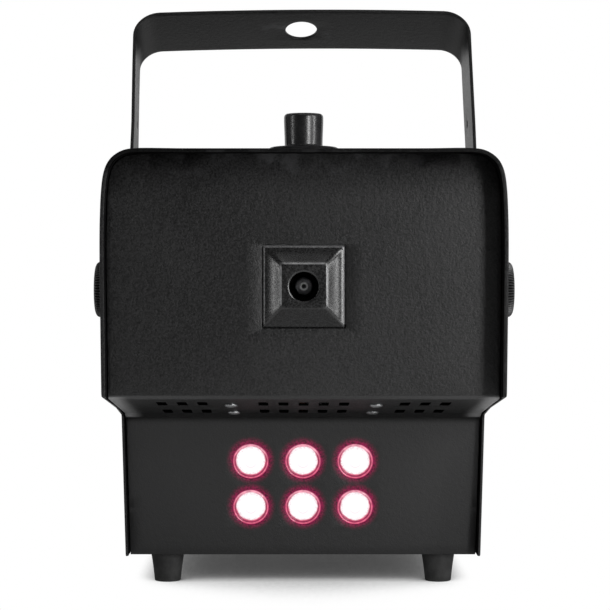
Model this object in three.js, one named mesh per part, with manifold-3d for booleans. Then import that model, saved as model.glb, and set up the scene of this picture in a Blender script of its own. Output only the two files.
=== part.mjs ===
// Fog machine: sheet-steel housing, fluid tank, pump, heater and nozzle, six LEDs, hanging bracket.
// Millimetres. +X to the right when facing the rear from the nozzle end, +Y to the rear, +Z up.
// Origin: on the floor, midway between the sides and midway between the front and rear rims.
// A "depth" is measured to the rear from the front rim. Names ending in _R are radii.
import * as THREE from 'three';
import { mergeVertices } from 'three/addons/utils/BufferGeometryUtils.js';
import Module from 'manifold-3d';

const wasm = await Module();
wasm.setup();

// ---------- shared dimensions ----------
const HOOD_LENGTH = 322;
const HOOD_TOP = 238.6;
const HOOD_BOTTOM = 16.6;         // lower edge of the hood's sides
const HOOD_SHEET = 1.5;
const SHEET = 1.2;                // front panel, nozzle cover and tray
const GAP = 0.3;                  // clearance between fitted parts

const PANEL_DEPTH = 16;           // upper part of the front panel
const NOZZLE_Z = 169.3;           // height of the nozzle's axis
const NOZZLE_SHANK_R = 4;
const VENT_WIDTH = 5;
const WALL_VENT_LENGTH = 18;
const VENT_ROWS = [49.5, 99.8];   // depths of the underside's vents and screws

const SCREW_HOLE_R = 2.3;
const SCREW_SHANK_R = 1.9;
const SIDE_SCREWS = [[160, 27], [298, 27]]; // depth, z

const REAR_WALL = 309.8;          // depth of the rear wall's inner face
const OUT = REAR_WALL + SHEET + GAP; // depth where flanges sit on the rear wall
const TRAY_Z = 18.1;              // underside of the tray
const TRAY_TOP = 19.7;            // height at which parts stand, just above the tray

const PIVOT_DEPTH = 200;          // hanging bracket's pivots
const PIVOT_Z = 165.9;
const BRACKET_HALF = 103.4;       // centre to the inner face of an arm
const STRAP = 2;                  // bracket thickness
const STUD_CLEAR_R = 4.3;

const NECK_DEPTH = 195;           // tank neck
const NECK_R = 16.5;

const SIDES = [['left', -1], ['right', 1]];

const yAt = (depth) => depth - HOOD_LENGTH / 2;
const plusMinus = (half) => [-half, half];

// ---------- solids ----------
function solid(shape) {
  if (!(shape instanceof THREE.BufferGeometry)) return shape;
  let geometry = shape.index ? shape.toNonIndexed() : shape.clone();
  geometry.deleteAttribute('normal');
  geometry.deleteAttribute('uv');
  geometry = mergeVertices(geometry, 1e-4);
  const index = geometry.index.array;
  const triangles = [];
  for (let i = 0; i < index.length; i += 3) {
    const [a, b, c] = [index[i], index[i + 1], index[i + 2]];
    if (a !== b && b !== c && a !== c) triangles.push(a, b, c);
  }
  return new wasm.Manifold(new wasm.Mesh({
    numProp: 3,
    vertProperties: new Float32Array(geometry.attributes.position.array),
    triVerts: new Uint32Array(triangles),
  }));
}
function geometryOf(body) {
  const mesh = body.getMesh();
  const geometry = new THREE.BufferGeometry();
  geometry.setAttribute('position', new THREE.Float32BufferAttribute(mesh.vertProperties, 3));
  geometry.setIndex(Array.from(mesh.triVerts));
  geometry.computeVertexNormals();
  return geometry;
}
const join = (...shapes) => shapes.map(solid).reduce((whole, part) => whole.add(part));
const cut = (...shapes) => shapes.map(solid).reduce((body, tool) => body.subtract(tool));
const common = (first, second) => solid(first).intersect(solid(second));

// ---------- outlines ----------
function arc(centreX, centreY, radius, from, to, steps) {
  return Array.from({ length: steps + 1 }, (_, i) => {
    const angle = THREE.MathUtils.degToRad(from + ((to - from) * i) / steps);
    return [centreX + radius * Math.cos(angle), centreY + radius * Math.sin(angle)];
  });
}
const circle = (centreX, centreY, radius, segments) =>
  arc(centreX, centreY, radius, 0, 360, segments).slice(0, -1);
function roundedRect(centreX, centreY, halfX, halfY, radius, steps) {
  return [[1, 1, 0], [-1, 1, 90], [-1, -1, 180], [1, -1, 270]].flatMap(([signX, signY, from]) =>
    arc(centreX + signX * (halfX - radius), centreY + signY * (halfY - radius),
      radius, from, from + 90, steps));
}
// slot with small rounded corners, long in its second coordinate
const vent = (centreX, centreY, length) =>
  roundedRect(centreX, centreY, VENT_WIDTH / 2, length / 2, 0.8, 1);

const normal = ([x0, y0], [x1, y1]) => {
  const length = Math.hypot(x1 - x0, y1 - y0);
  return [(y1 - y0) / length, -(x1 - x0) / length];
};
// open line moved to its right-hand side, with mitred corners
function offsetLine(points, distance) {
  const last = points.length - 1;
  return points.map((point, i) => {
    const before = i > 0 ? normal(points[i - 1], point) : normal(point, points[1]);
    const after = i < last ? normal(point, points[i + 1]) : before;
    const scale = distance / (1 + before[0] * after[0] + before[1] * after[1]);
    return [point[0] + (before[0] + after[0]) * scale, point[1] + (before[1] + after[1]) * scale];
  });
}

// ---------- geometry ----------
function localBox([x0, x1], [y0, y1], [z0, z1]) {
  return new THREE.BoxGeometry(x1 - x0, y1 - y0, z1 - z0)
    .translate((x0 + x1) / 2, (y0 + y1) / 2, (z0 + z1) / 2);
}
const box = (xRange, depths, zRange) => localBox(xRange, depths.map(yAt), zRange);

function extrude(points, options, holes = []) {
  const vectors = (outline) => outline.map(([x, y]) => new THREE.Vector2(x, y));
  const shape = new THREE.Shape(vectors(points));
  shape.holes = holes.map((hole) => new THREE.Path(vectors(hole)));
  return new THREE.ExtrudeGeometry(shape, { bevelEnabled: false, curveSegments: 1, ...options });
}
// section in X and Z, run along Y
const alongY = (points, y0, y1, holes) =>
  extrude(points, { depth: y1 - y0 }, holes).rotateX(Math.PI / 2).translate(0, y1, 0);
const alongDepth = (points, from, to, holes) => alongY(points, yAt(from), yAt(to), holes);
// section in Y and Z, run along X to both sides
function alongX(points, halfLength) {
  const axes = new THREE.Matrix4().makeBasis(
    new THREE.Vector3(0, 1, 0), new THREE.Vector3(0, 0, 1), new THREE.Vector3(1, 0, 0));
  return extrude(points, { depth: 2 * halfLength })
    .applyMatrix4(axes).translate(-halfLength, 0, 0);
}
// section in depth and Z; the default length runs past both sides of the hood
const acrossHood = (points, halfLength = 120) =>
  alongX(points.map(([depth, z]) => [yAt(depth), z]), halfLength);
// section in X and Y, run along Z
const alongZ = (points, z0, z1) => extrude(points, { depth: z1 - z0 }).translate(0, 0, z0);

// solid of revolution about Z from [radius, z] points, ending on the axis or closed on itself
const turned = (points, segments) =>
  new THREE.LatheGeometry(points.map(([radius, z]) => new THREE.Vector2(radius, z)), segments)
    .rotateX(Math.PI / 2);
const ring = (inner, outer, z0, z1, segments) =>
  turned([[inner, z0], [outer, z0], [outer, z1], [inner, z1], [inner, z0]], segments);
const rod = (radius, z0, z1, segments) =>
  turned([[0, z0], [radius, z0], [radius, z1], [0, z1]], segments);
const uprightRod = (radius, z0, z1, segments, x, depth) =>
  rod(radius, z0, z1, segments).translate(x, yAt(depth), 0);

const towardsRear = (geometry) => geometry.rotateX(-Math.PI / 2);
// Z of the geometry becomes depth; its axis is placed at x and z
const rearward = (geometry, x, z) => towardsRear(geometry).translate(x, yAt(0), z);
const rearwardRod = (radius, from, to, segments, x, z) =>
  rearward(rod(radius, from, to, segments), x, z);

// closed skin through rings that hold the same number of points
function skin(rings) {
  const count = rings[0].length;
  const index = [];
  for (let k = 0; k + 1 < rings.length; k++) {
    for (let i = 0; i < count; i++) {
      const here = k * count + i;
      const next = k * count + ((i + 1) % count);
      index.push(here, next, next + count, here, next + count, here + count);
    }
  }
  const last = (rings.length - 1) * count;
  for (let i = 1; i + 1 < count; i++) {
    index.push(0, i + 1, i);
    index.push(last, last + i, last + i + 1);
  }
  const geometry = new THREE.BufferGeometry();
  geometry.setAttribute('position', new THREE.Float32BufferAttribute(rings.flat(2), 3));
  geometry.setIndex(index);
  return geometry;
}
// six-sided pipe on the centre plane through [depth, z] points
function pipe(points, steps) {
  const path = new THREE.CatmullRomCurve3(
    points.map(([depth, z]) => new THREE.Vector3(0, yAt(depth), z)), false, 'centripetal');
  return extrude(circle(0, 0, 2, 6), { extrudePath: path, steps });
}
// head above z = 0, shank below
function panScrew({ headR, headHeight, shankR, shankLength }) {
  return turned([
    [0, -shankLength], [shankR, -shankLength], [shankR, 0], [headR, 0],
    [headR, headHeight * 0.5], [headR * 0.7, headHeight], [0, headHeight],
  ], 12);
}

// ---------- finishes ----------
const FINISH = {
  powder: { color: 0x17181a, roughness: 0.62, metalness: 0.1 },
  steel: { color: 0x8d9094, roughness: 0.4, metalness: 0.9 },
  blackSteel: { color: 0x1b1c1e, roughness: 0.4, metalness: 0.7 },
  rubber: { color: 0x131313, roughness: 0.85, metalness: 0 },
  plastic: { color: 0x151516, roughness: 0.5, metalness: 0 },
  gloss: { color: 0x101012, roughness: 0.2, metalness: 0 },
  aluminium: { color: 0xa9abad, roughness: 0.45, metalness: 0.9 },
  lens: {
    color: 0xfff2f7, roughness: 0.1, metalness: 0, emissive: 0xff3377, emissiveIntensity: 2,
  },
  insulation: { color: 0xd9d4c8, roughness: 0.95, metalness: 0 },
  thermostat: { color: 0x2a2622, roughness: 0.6, metalness: 0 },
  board: { color: 0x1f5c3a, roughness: 0.5, metalness: 0 },
  tank: { color: 0xe6e6df, roughness: 0.5, metalness: 0 },
  coil: { color: 0x7a3b1e, roughness: 0.5, metalness: 0.2 },
  pumpBody: { color: 0xd8d8d0, roughness: 0.5, metalness: 0 },
  deliveryTube: { color: 0xb8754a, roughness: 0.35, metalness: 0.9 },
  suctionTube: { color: 0xdfe4e4, roughness: 0.3, metalness: 0 },
  fuse: { color: 0xd8dcdc, roughness: 0.2, metalness: 0.3 },
  redButton: { color: 0xb01818, roughness: 0.35, metalness: 0 },
  greenLamp: { color: 0x30c060, roughness: 0.2, metalness: 0 },
};

// ---------- groups ----------
const model = new THREE.Group();
function add(parent, name, shape, finish) {
  const geometry = shape instanceof THREE.BufferGeometry ? shape : geometryOf(shape);
  const mesh = new THREE.Mesh(geometry, new THREE.MeshStandardMaterial(finish));
  mesh.name = name;
  parent.add(mesh);
  return mesh;
}
function addTiltedGroup(x, depth, z, tilt) {
  const group = new THREE.Group();
  group.position.set(x, yAt(depth), z);
  group.rotation.x = tilt;
  group.updateMatrix();
  model.add(group);
  return group;
}

// ---------- hood ----------
// half width, z
const HOOD_SECTION = [
  [86, HOOD_TOP], [90.6, 237.7], [93.7, 236.2], [96.6, 233.9], [98.9, 230.6],
  [100.5, 226.0], [101.5, 219.0], [102.2, 205.0], [102.4, 188.0], [101.95, 148.6],
  [101.55, 118.6], [101.2, 96.0], [99.7, HOOD_BOTTOM],
];
// left lower end, over the top, to the right lower end
const HOOD_OUTER = [...HOOD_SECTION.map(([x, z]) => [-x, z]).reverse(), ...HOOD_SECTION];
// depth, z: the sides' lower front edge, closed below and in front of the hood
const LOWER_END = 124;
const HOOD_FRONT_CUT = [
  [-5, 114.2], [0, 114.2], [80, 103.2], [114.7, 96.8],
  [LOWER_END, HOOD_BOTTOM], [LOWER_END, 0], [-5, 0],
];
const RIM_SHEET = 2.3;            // hemmed edge
const RIM_DEPTH = 8;
const SIDE_VENT_DEPTHS = [48, 62, 76, 90, 104];
const SIDE_VENT_Z = 204;

function hoodInner(inset, bottom) {
  const line = offsetLine(HOOD_OUTER, inset);
  line[0][1] = bottom;
  line[line.length - 1][1] = bottom;
  return line;
}
const hoodShell = (thickness, from, to) =>
  alongDepth([...HOOD_OUTER, ...hoodInner(thickness, HOOD_BOTTOM).reverse()], from, to);
// space inside the hood, which trims the sheets that fit it
const hoodInside = (gap, from, to) =>
  alongDepth(hoodInner(HOOD_SHEET + gap, HOOD_BOTTOM - 5), from, to);
function hoodHalfWidth(z) {
  const below = HOOD_SECTION.findIndex(([, height]) => height <= z);
  const [width0, z0] = HOOD_SECTION[below - 1];
  const [width1, z1] = HOOD_SECTION[below];
  return width0 + ((width1 - width0) * (z - z0)) / (z1 - z0);
}
const sideScrewHoles = () =>
  SIDE_SCREWS.map(([depth, z]) => acrossHood(circle(depth, z, 2.1, 8)));

function addHood() {
  const shell = join(
    hoodShell(HOOD_SHEET, 0, HOOD_LENGTH),
    hoodShell(RIM_SHEET, 0, RIM_DEPTH),
    hoodShell(RIM_SHEET, HOOD_LENGTH - RIM_DEPTH, HOOD_LENGTH),
  );
  add(model, 'hood_cover', cut(shell,
    acrossHood(HOOD_FRONT_CUT),
    acrossHood(circle(PIVOT_DEPTH, PIVOT_Z, STUD_CLEAR_R, 16)),
    uprightRod(NECK_R + 1.8, HOOD_TOP - 10, HOOD_TOP + 5, 24, 0, NECK_DEPTH),
    ...sideScrewHoles(),
    ...SIDE_VENT_DEPTHS.map((depth) => acrossHood(vent(depth, SIDE_VENT_Z, WALL_VENT_LENGTH))),
  ), FINISH.powder);
}

// ---------- front panel ----------
// [depth, z] of the panel's folds, from the upper panel down
const PANEL_FOLD = [PANEL_DEPTH, 112.2];
const CHIN_KNEE = [112, 98.2];    // upper and lower edges of the narrow strip between
const CHIN_END = [121, 94.2];     // the slanting underside and the lower face
const LOWER_FACE_END = [134.29, 16.3];
const PANEL_VENT_LENGTH = 22;
const PANEL_VENT_COLUMNS = [
  -74.4, -63.8, -53.1, -21.2, -10.6, 0, 10.6, 21.2, 53.1, 63.8, 74.4,
];
const CHIN_SCREW_X = 38;
const LED_PITCH = 29.4;
const LED_ROWS = [-24.65, -51.3]; // down the lower face from its upper fold
const LED_HOLE_R = 10.25;
const COVER_BASE = 41.5;          // side of the square nozzle cover
const COVER_OPENING = COVER_BASE + 1;

// slanting underside: +Y down the slope to the rear, +Z into the housing
const CHIN_SLOPE = Math.atan2(PANEL_FOLD[1] - CHIN_KNEE[1], CHIN_KNEE[0] - PANEL_DEPTH);
const chin = addTiltedGroup(0, ...PANEL_FOLD, -CHIN_SLOPE);
// lower face: +Z up the face, +Y into the housing
const FACE_LEAN = Math.atan2(LOWER_FACE_END[0] - CHIN_END[0], CHIN_END[1] - LOWER_FACE_END[1]);
const face = addTiltedGroup(0, ...CHIN_END, FACE_LEAN);

// x, y in the chin group
const CHIN_SCREWS = VENT_ROWS.flatMap((depth) => SIDES.map(([, sign]) =>
  [sign * CHIN_SCREW_X, (depth - PANEL_DEPTH) / Math.cos(CHIN_SLOPE)]));
// x, z in the face group
const LED_PLACES = LED_ROWS.flatMap((z) => [-1, 0, 1].map((column) => [column * LED_PITCH, z]));
const chinScrewHoles = () =>
  CHIN_SCREWS.map(([x, y]) => rod(SCREW_HOLE_R, -6, 6, 10).translate(x, y, 0));

function addFrontPanel() {
  const line = [
    [PANEL_DEPTH, HOOD_TOP - 1.6], PANEL_FOLD, CHIN_KNEE, CHIN_END, LOWER_FACE_END,
  ];
  const sheet = acrossHood([...line, ...offsetLine(line, -SHEET).reverse()], 101);
  const half = COVER_OPENING / 2;
  add(model, 'front_panel', cut(
    common(sheet, hoodInside(0.4, -5, 200)),
    alongDepth(roundedRect(0, NOZZLE_Z, half, half, 1.5, 2), 10, 22),
    ...VENT_ROWS.flatMap((depth) => PANEL_VENT_COLUMNS.map((x) =>
      alongZ(vent(x, yAt(depth), PANEL_VENT_LENGTH), 85, 122))),
    ...chinScrewHoles().map((hole) => hole.applyMatrix4(chin.matrix)),
    ...LED_PLACES.map(([x, z]) =>
      towardsRear(rod(LED_HOLE_R, -4, 6, 16)).translate(x, 0, z).applyMatrix4(face.matrix)),
  ), FINISH.powder);
}

// ---------- nozzle cover and nozzle ----------
const COVER_HEIGHT = 10;
const COVER_HOLE_R = 7.3;

function addNozzleCover() {
  const half = COVER_BASE / 2;
  const inside = half - SHEET;
  const front = PANEL_DEPTH - COVER_HEIGHT;
  const squares = (stations) => skin(stations.map(([halfSide, corner, depth]) =>
    roundedRect(0, NOZZLE_Z, halfSide, halfSide, corner, 3).map(([x, z]) => [x, yAt(depth), z])));
  // half side, corner radius, depth
  const outer = squares([
    [half, 1.2, 18.0], [half, 1.2, 15.4], [half - 0.7, 1.6, 14.4], [17.4, 2.2, 11.6],
    [14.2, 2.6, 8.6], [12.0, 3.0, 6.7], [10.9, 3.0, front + 0.1], [10.0, 3.0, front],
  ]);
  const inner = squares([
    [inside, 0.6, 19.5], [inside, 0.6, 15.9], [inside - 0.7, 1.0, 15.1], [16.2, 1.4, 12.6],
    [12.9, 1.8, 9.6], [10.6, 2.0, front + SHEET + 0.2], [9.6, 2.0, front + SHEET],
  ]);
  const flange = alongDepth(roundedRect(0, NOZZLE_Z, 25, 25, 2, 2), 17.5, 17.5 + SHEET);
  const hole = rearwardRod(COVER_HOLE_R, -5, 25, 24, 0, NOZZLE_Z);
  add(model, 'nozzle_cover', cut(join(outer, flange), inner, hole), FINISH.powder);
}
function addNozzle() {
  // radius, depth
  add(model, 'nozzle', rearward(turned([
    [0.7, 22], [1.5, 22], [1.5, 24.4], [4.5, 26], [4.5, 33], [6.6, 33], [6.6, 37.9],
    [NOZZLE_SHANK_R, 37.9], [NOZZLE_SHANK_R, 49], [0.7, 49], [0.7, 22],
  ], 16), 0, NOZZLE_Z), FINISH.blackSteel);
}

// ---------- heater ----------
const HEATER_HALF_WIDTH = 27;
const HEATER_HALF_HEIGHT = 25;

function addHeater() {
  const outline = (grow, corner) => roundedRect(
    0, NOZZLE_Z, HEATER_HALF_WIDTH + grow, HEATER_HALF_HEIGHT + grow, corner, 2);
  add(model, 'heater_block', cut(
    alongDepth(outline(0, 3), 38.5, 128.5),
    rearwardRod(NOZZLE_SHANK_R + GAP, 30, 52, 16, 0, NOZZLE_Z),
    rearwardRod(1.6, 30, 125, 8, 0, NOZZLE_Z),
    rearwardRod(2.6, 118, 135, 12, 0, NOZZLE_Z),      // delivery tube's end
    rearwardRod(4, 30, 120, 8, 0, NOZZLE_Z - 16),     // blind bore in the lower half
  ), FINISH.aluminium);
  add(model, 'heater_insulation',
    alongDepth(outline(4, 4), 46, 122, [outline(0.4, 3).reverse()]), FINISH.insulation);
}
function addHeaterBrackets() {
  // x, z in the chin group: foot on the underside, upright beside the heater
  const angle = [[31.4, 1.6], [45.5, 1.6], [45.5, 3.1], [32.9, 3.1], [32.9, 60], [31.4, 60]];
  for (const [side, sign] of SIDES) {
    const section = angle.map(([x, z]) => [sign * x, z]);
    add(chin, `heater_bracket_${side}`,
      cut(alongY(section, 26, 92), ...chinScrewHoles()), FINISH.steel);
  }
}
function addHeaterSafety() {
  add(model, 'thermostat', join(
    rearwardRod(8, 128.9, 136, 16, 15, 180),
    ...[11, 18].map((x) => box([x, x + 1], [135.5, 143], [177, 183])),
  ), FINISH.thermostat);
  add(model, 'thermal_fuse', uprightRod(2.2, 162, 178, 8, -16, 131.4), FINISH.steel);
}

// ---------- housing screws ----------
function addChinScrews() {
  const size = { headR: 3.5, headHeight: 2.3, shankR: SCREW_SHANK_R, shankLength: 8 };
  CHIN_SCREWS.forEach(([x, y], i) => {
    const screw = add(chin, `chin_screw_${i + 1}`, panScrew(size), FINISH.steel);
    screw.rotation.x = Math.PI;
    screw.position.set(x, y, -GAP);
  });
}
function addSideScrews() {
  const size = { headR: 3.2, headHeight: 2.0, shankR: 1.6, shankLength: 7 };
  const places = SIDE_SCREWS.flatMap(([depth, z]) => SIDES.map(([, sign]) => [depth, z, sign]));
  places.forEach(([depth, z, sign], i) => {
    const screw = add(model, `side_screw_${i + 1}`, panScrew(size), FINISH.blackSteel);
    screw.rotation.y = sign * Math.PI / 2;
    screw.position.set(sign * (hoodHalfWidth(z - size.headR) + 0.5), yAt(depth), z);
  });
}

// ---------- LEDs ----------
// radius, distance behind the lower face
const LENS_PROFILE = [
  [0, 2.8], [8.4, 4.4], [9.8, 4.4], [9.8, 1.6], [11.6, 1.6], [11.6, 6.2],
  [8.4, 6.2], [4, 12.2], [0, 12.2],
];
function addLeds() {
  LED_PLACES.forEach(([x, z], i) => {
    const lens = towardsRear(turned(LENS_PROFILE, 16));
    add(face, `led_lens_${i + 1}`, lens, FINISH.lens).position.set(x, 0, z);
  });
  add(face, 'led_board', join(
    localBox(plusMinus(46), [13.2, 14.8], [-66, -10]),
    ...LED_PLACES.map(([x, z]) => towardsRear(rod(3.5, 12.6, 13.6, 10)).translate(x, 0, z)),
  ), FINISH.board);
}

// ---------- chassis tray with rear wall ----------
const TRAY_HALF = 97;
const TRAY_FRONT = 135.6;
const REAR_VENT_PITCH = 21;
const FOOT_X = 77.4;
const FEET = [['front', 146.4], ['rear', 290]].flatMap(([end, depth]) =>
  SIDES.map(([side, sign]) => ({ name: `foot_${end}_${side}`, x: sign * FOOT_X, depth })));

// rear controls, in a row; the half sizes and radii are of the bodies behind the wall
const REAR_Z = 60;
const INLET = { x: -55, halfWidth: 13.6, halfHeight: 15.8 };
const SWITCH = { x: -16, halfWidth: 6.3, halfHeight: 9.7 };
const BUTTON = { x: 18, radius: 6 };
const LAMP = { x: 42, radius: 3 };
const SOCKET = { x: 68, radius: 5 };
const CUTOUT_GAP = 0.4;

function addTray() {
  const wallEnd = REAR_WALL + SHEET;
  const wall = alongDepth(roundedRect(0, 127.2, 101, 109.2, 1, 1), REAR_WALL, wallEnd);
  const flangeDepths = [140, REAR_WALL + 0.2];
  const tray = join(
    common(wall, hoodInside(0.5, 300, 320)),
    box(plusMinus(TRAY_HALF), [TRAY_FRONT, wallEnd], [TRAY_Z, TRAY_Z + SHEET]),
    box(plusMinus(TRAY_HALF), [TRAY_FRONT, TRAY_FRONT + SHEET], [TRAY_Z, 27]),
    box([-TRAY_HALF, SHEET - TRAY_HALF], flangeDepths, [TRAY_Z, 34]),
    box([TRAY_HALF - SHEET, TRAY_HALF], flangeDepths, [TRAY_Z, 34]),
  );
  const rectangles = [INLET, SWITCH].map(({ x, halfWidth, halfHeight }) => {
    const right = halfWidth + CUTOUT_GAP;
    const up = halfHeight + CUTOUT_GAP;
    return box([x - right, x + right], [300, 320], [REAR_Z - up, REAR_Z + up]);
  });
  const rounds = [[BUTTON, 16], [LAMP, 12], [SOCKET, 16]].map(([{ x, radius }, segments]) =>
    alongDepth(circle(x, REAR_Z, radius + CUTOUT_GAP, segments), 300, 320));
  add(model, 'chassis_tray', cut(tray,
    ...rectangles,
    ...rounds,
    ...[-3, -2, -1, 0, 1, 2, 3].map((column) =>
      alongDepth(vent(column * REAR_VENT_PITCH, 200, WALL_VENT_LENGTH * 1.4), 300, 320)),
    ...FEET.map(({ x, depth }) => uprightRod(SCREW_HOLE_R, 10, 25, 10, x, depth)),
    ...sideScrewHoles(),
  ), FINISH.powder);
}

// ---------- feet ----------
const FOOT_TOP_R = 9.9;
const FOOT_BOTTOM_R = 7.7;
const FOOT_HEIGHT = 17.8;
const FOOT_RECESS_R = 4.6;
const FOOT_RECESS = 8;            // height of the screw recess

function addFeet() {
  const profile = [
    [FOOT_RECESS_R, 0], [FOOT_BOTTOM_R - 0.6, 0], [FOOT_BOTTOM_R, 0.6], [FOOT_TOP_R, FOOT_HEIGHT],
    [SCREW_HOLE_R, FOOT_HEIGHT], [SCREW_HOLE_R, FOOT_RECESS], [FOOT_RECESS_R, FOOT_RECESS],
    [FOOT_RECESS_R, 0],
  ];
  const size = { headR: 3.8, headHeight: 2.2, shankR: SCREW_SHANK_R, shankLength: 17 };
  FEET.forEach(({ name, x, depth }, i) => {
    add(model, name, turned(profile, 16), FINISH.rubber).position.set(x, yAt(depth), 0);
    const screw = add(model, `foot_screw_${i + 1}`, panScrew(size), FINISH.steel);
    screw.rotation.x = Math.PI;
    screw.position.set(x, yAt(depth), FOOT_RECESS - GAP);
  });
}

// ---------- hanging bracket ----------
const BRACKET_LEAN = 25;          // degrees back from upright
const BRACKET_REACH = 182;        // pivots to the inner face of the cross bar
const STRAP_WIDTH = 43;
const BEND = 14.5;                // inner radius of the corners
const HANG_HOLE_R = 10;
const ARM_HOLE = { y: 5, z: 117, radius: 2.5 };

function addBracket() {
  // +Z from the pivots to the cross bar
  const bracket = addTiltedGroup(0, PIVOT_DEPTH, PIVOT_Z, -THREE.MathUtils.degToRad(BRACKET_LEAN));
  const half = STRAP_WIDTH / 2;
  const inner = BRACKET_HALF;
  const outer = inner + STRAP;
  const bendX = inner - BEND;
  const bendZ = BRACKET_REACH - BEND;
  const section = [
    [outer, -half],
    ...arc(bendX, bendZ, BEND + STRAP, 0, 90, 6),
    ...arc(-bendX, bendZ, BEND + STRAP, 90, 180, 6),
    [-outer, -half], [-inner, -half],
    ...arc(-bendX, bendZ, BEND, 180, 90, 6),
    ...arc(bendX, bendZ, BEND, 90, 0, 6),
    [inner, -half],
  ];
  // side view of an arm, round at the pivot
  const top = BRACKET_REACH + 10;
  const outline = [...arc(0, 0, half, 180, 360, 12), [half, top], [-half, top]];
  add(bracket, 'bracket', cut(
    common(alongY(section, -half, half), alongX(outline, 120)),
    rod(HANG_HOLE_R, BRACKET_REACH - 5, BRACKET_REACH + 8, 24),
    alongX(circle(0, 0, STUD_CLEAR_R, 16), 120),
    alongX(circle(ARM_HOLE.y, ARM_HOLE.z, ARM_HOLE.radius, 12), 120),
  ), FINISH.powder);
}

// ---------- clamp knobs ----------
const STUD_R = 4;
const KNOB_R = 16.65;
const KNOB_TEETH = 20;
const KNOB_INNER = 107.5;         // knob faces, from the centre plane
const KNOB_OUTER = 126.7;

function knobShape() {
  const count = KNOB_TEETH * 2;
  const wheel = (radius, tooth, z) => Array.from({ length: count }, (_, i) => {
    const angle = (i / count) * Math.PI * 2;
    const reach = radius - (i % 2 ? tooth : 0);
    return [reach * Math.cos(angle), reach * Math.sin(angle), z];
  });
  const grip = skin([
    wheel(KNOB_R - 1.2, 0, KNOB_INNER), wheel(KNOB_R, 0.9, KNOB_INNER + 1.2),
    wheel(KNOB_R, 0.9, KNOB_OUTER - 2.8), wheel(KNOB_R - 1.4, 0, KNOB_OUTER - 1.1),
    wheel(8, 0, KNOB_OUTER),
  ]);
  return geometryOf(join(grip, rod(STUD_R, 88, KNOB_INNER + 2, 16)));
}
function addClamps() {
  const washer = BRACKET_HALF + STRAP + GAP;
  const nutFace = hoodHalfWidth(PIVOT_Z + 8) - HOOD_SHEET - 0.6;
  for (const [side, sign] of SIDES) {
    // turns +Z of the geometry outwards
    const place = (name, geometry, finish) =>
      add(model, `${name}_${side}`, geometry.rotateY(sign * Math.PI / 2), finish)
        .position.set(0, yAt(PIVOT_DEPTH), PIVOT_Z);
    place('knob', knobShape(), FINISH.plastic);
    place('clamp_washer', ring(4.4, 10, washer, washer + 1.5, 16), FINISH.steel);
    place('clinch_nut', ring(STUD_CLEAR_R, 8, nutFace - 8, nutFace, 12), FINISH.steel);
  }
}

// ---------- fluid tank ----------
const TANK = { depth: 206, halfWidth: 55, halfDepth: 56, corner: 8, bottom: 150, top: 226 };
const TANK_WALL = 2;
const SUCTION_DEPTH = 240;        // suction tube's hole in the tank bottom
const NECK_BORE_R = 13.5;
const NECK_TOP = 247.6;
const SKIRT_R = 21;
const SKIRT_TOP = 251.1;
const SKIRT_INNER_R = 17.6;
const GRIP_R = 11.3;
const GRIP_TOP_R = 11.8;
const CAP_TOP = 271.6;

function addTank() {
  const block = (inset) => alongZ(roundedRect(0, yAt(TANK.depth), TANK.halfWidth - inset,
    TANK.halfDepth - inset, TANK.corner - inset, 3), TANK.bottom + inset, TANK.top - inset);
  add(model, 'fluid_tank', cut(
    join(block(0), uprightRod(NECK_R, TANK.top - 1, NECK_TOP, 24, 0, NECK_DEPTH)),
    block(TANK_WALL),
    uprightRod(NECK_BORE_R, 220, NECK_TOP + 5, 24, 0, NECK_DEPTH),
    uprightRod(2.6, 145, 155, 12, 0, SUCTION_DEPTH),
  ), FINISH.tank);
}
function addTankCap() {
  const skirtBottom = HOOD_TOP + 0.7;
  const inside = NECK_TOP + 1.8;
  add(model, 'tank_cap', turned([
    [0, inside], [SKIRT_INNER_R, inside], [SKIRT_INNER_R, skirtBottom], [SKIRT_R, skirtBottom],
    [SKIRT_R, SKIRT_TOP - 1.2], [SKIRT_R - 1.2, SKIRT_TOP],
    [GRIP_R + 1.2, SKIRT_TOP], [GRIP_R, SKIRT_TOP + 1.2],
    [GRIP_TOP_R, CAP_TOP - 2.8], [GRIP_TOP_R - 1, CAP_TOP - 0.8], [GRIP_TOP_R - 3, CAP_TOP],
    [0, CAP_TOP],
  ], 24), FINISH.gloss).position.set(0, yAt(NECK_DEPTH), 0);
  add(model, 'tank_gasket', ring(NECK_BORE_R, NECK_R, NECK_TOP + GAP, NECK_TOP + 1.5, 20),
    FINISH.rubber).position.set(0, yAt(NECK_DEPTH), 0);
}

// ---------- pump and pipes ----------
const PUMP_Z = 75;
const PUMP_START = 178;
const PUMP_END = 236;

function addPump() {
  // x, z: two feet, a cross bar below the coil, and a window round the coil
  const frame = [
    [-32, TRAY_TOP], [-20, TRAY_TOP], [-20, 53], [20, 53], [20, TRAY_TOP], [32, TRAY_TOP],
    [32, 21.7], [22, 21.7], [22, 97], [-22, 97], [-22, 21.7], [-32, 21.7],
  ];
  const frameWindow = [[-20, 55], [-20, 95], [20, 95], [20, 55]];
  add(model, 'pump_frame', alongDepth(frame, 188, 226, [frameWindow]), FINISH.steel);

  const coaxial = (radius, from, to, segments) =>
    rearwardRod(radius, from, to, segments, 0, PUMP_Z);
  add(model, 'pump_coil', rearward(ring(8.5, 18.5, 190, 224, 20), 0, PUMP_Z), FINISH.coil);
  add(model, 'pump_body', cut(
    join(coaxial(8, PUMP_START, PUMP_END, 16), coaxial(3, PUMP_START - 12, PUMP_END + 12, 12)),
    coaxial(5.4, 196, 222, 16),
    coaxial(1.5, PUMP_START - 14, PUMP_END + 14, 8),
  ), FINISH.pumpBody);
  add(model, 'pump_plunger', rearward(ring(1.2, 5, 199, 219, 16), 0, PUMP_Z), FINISH.steel);
}
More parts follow.
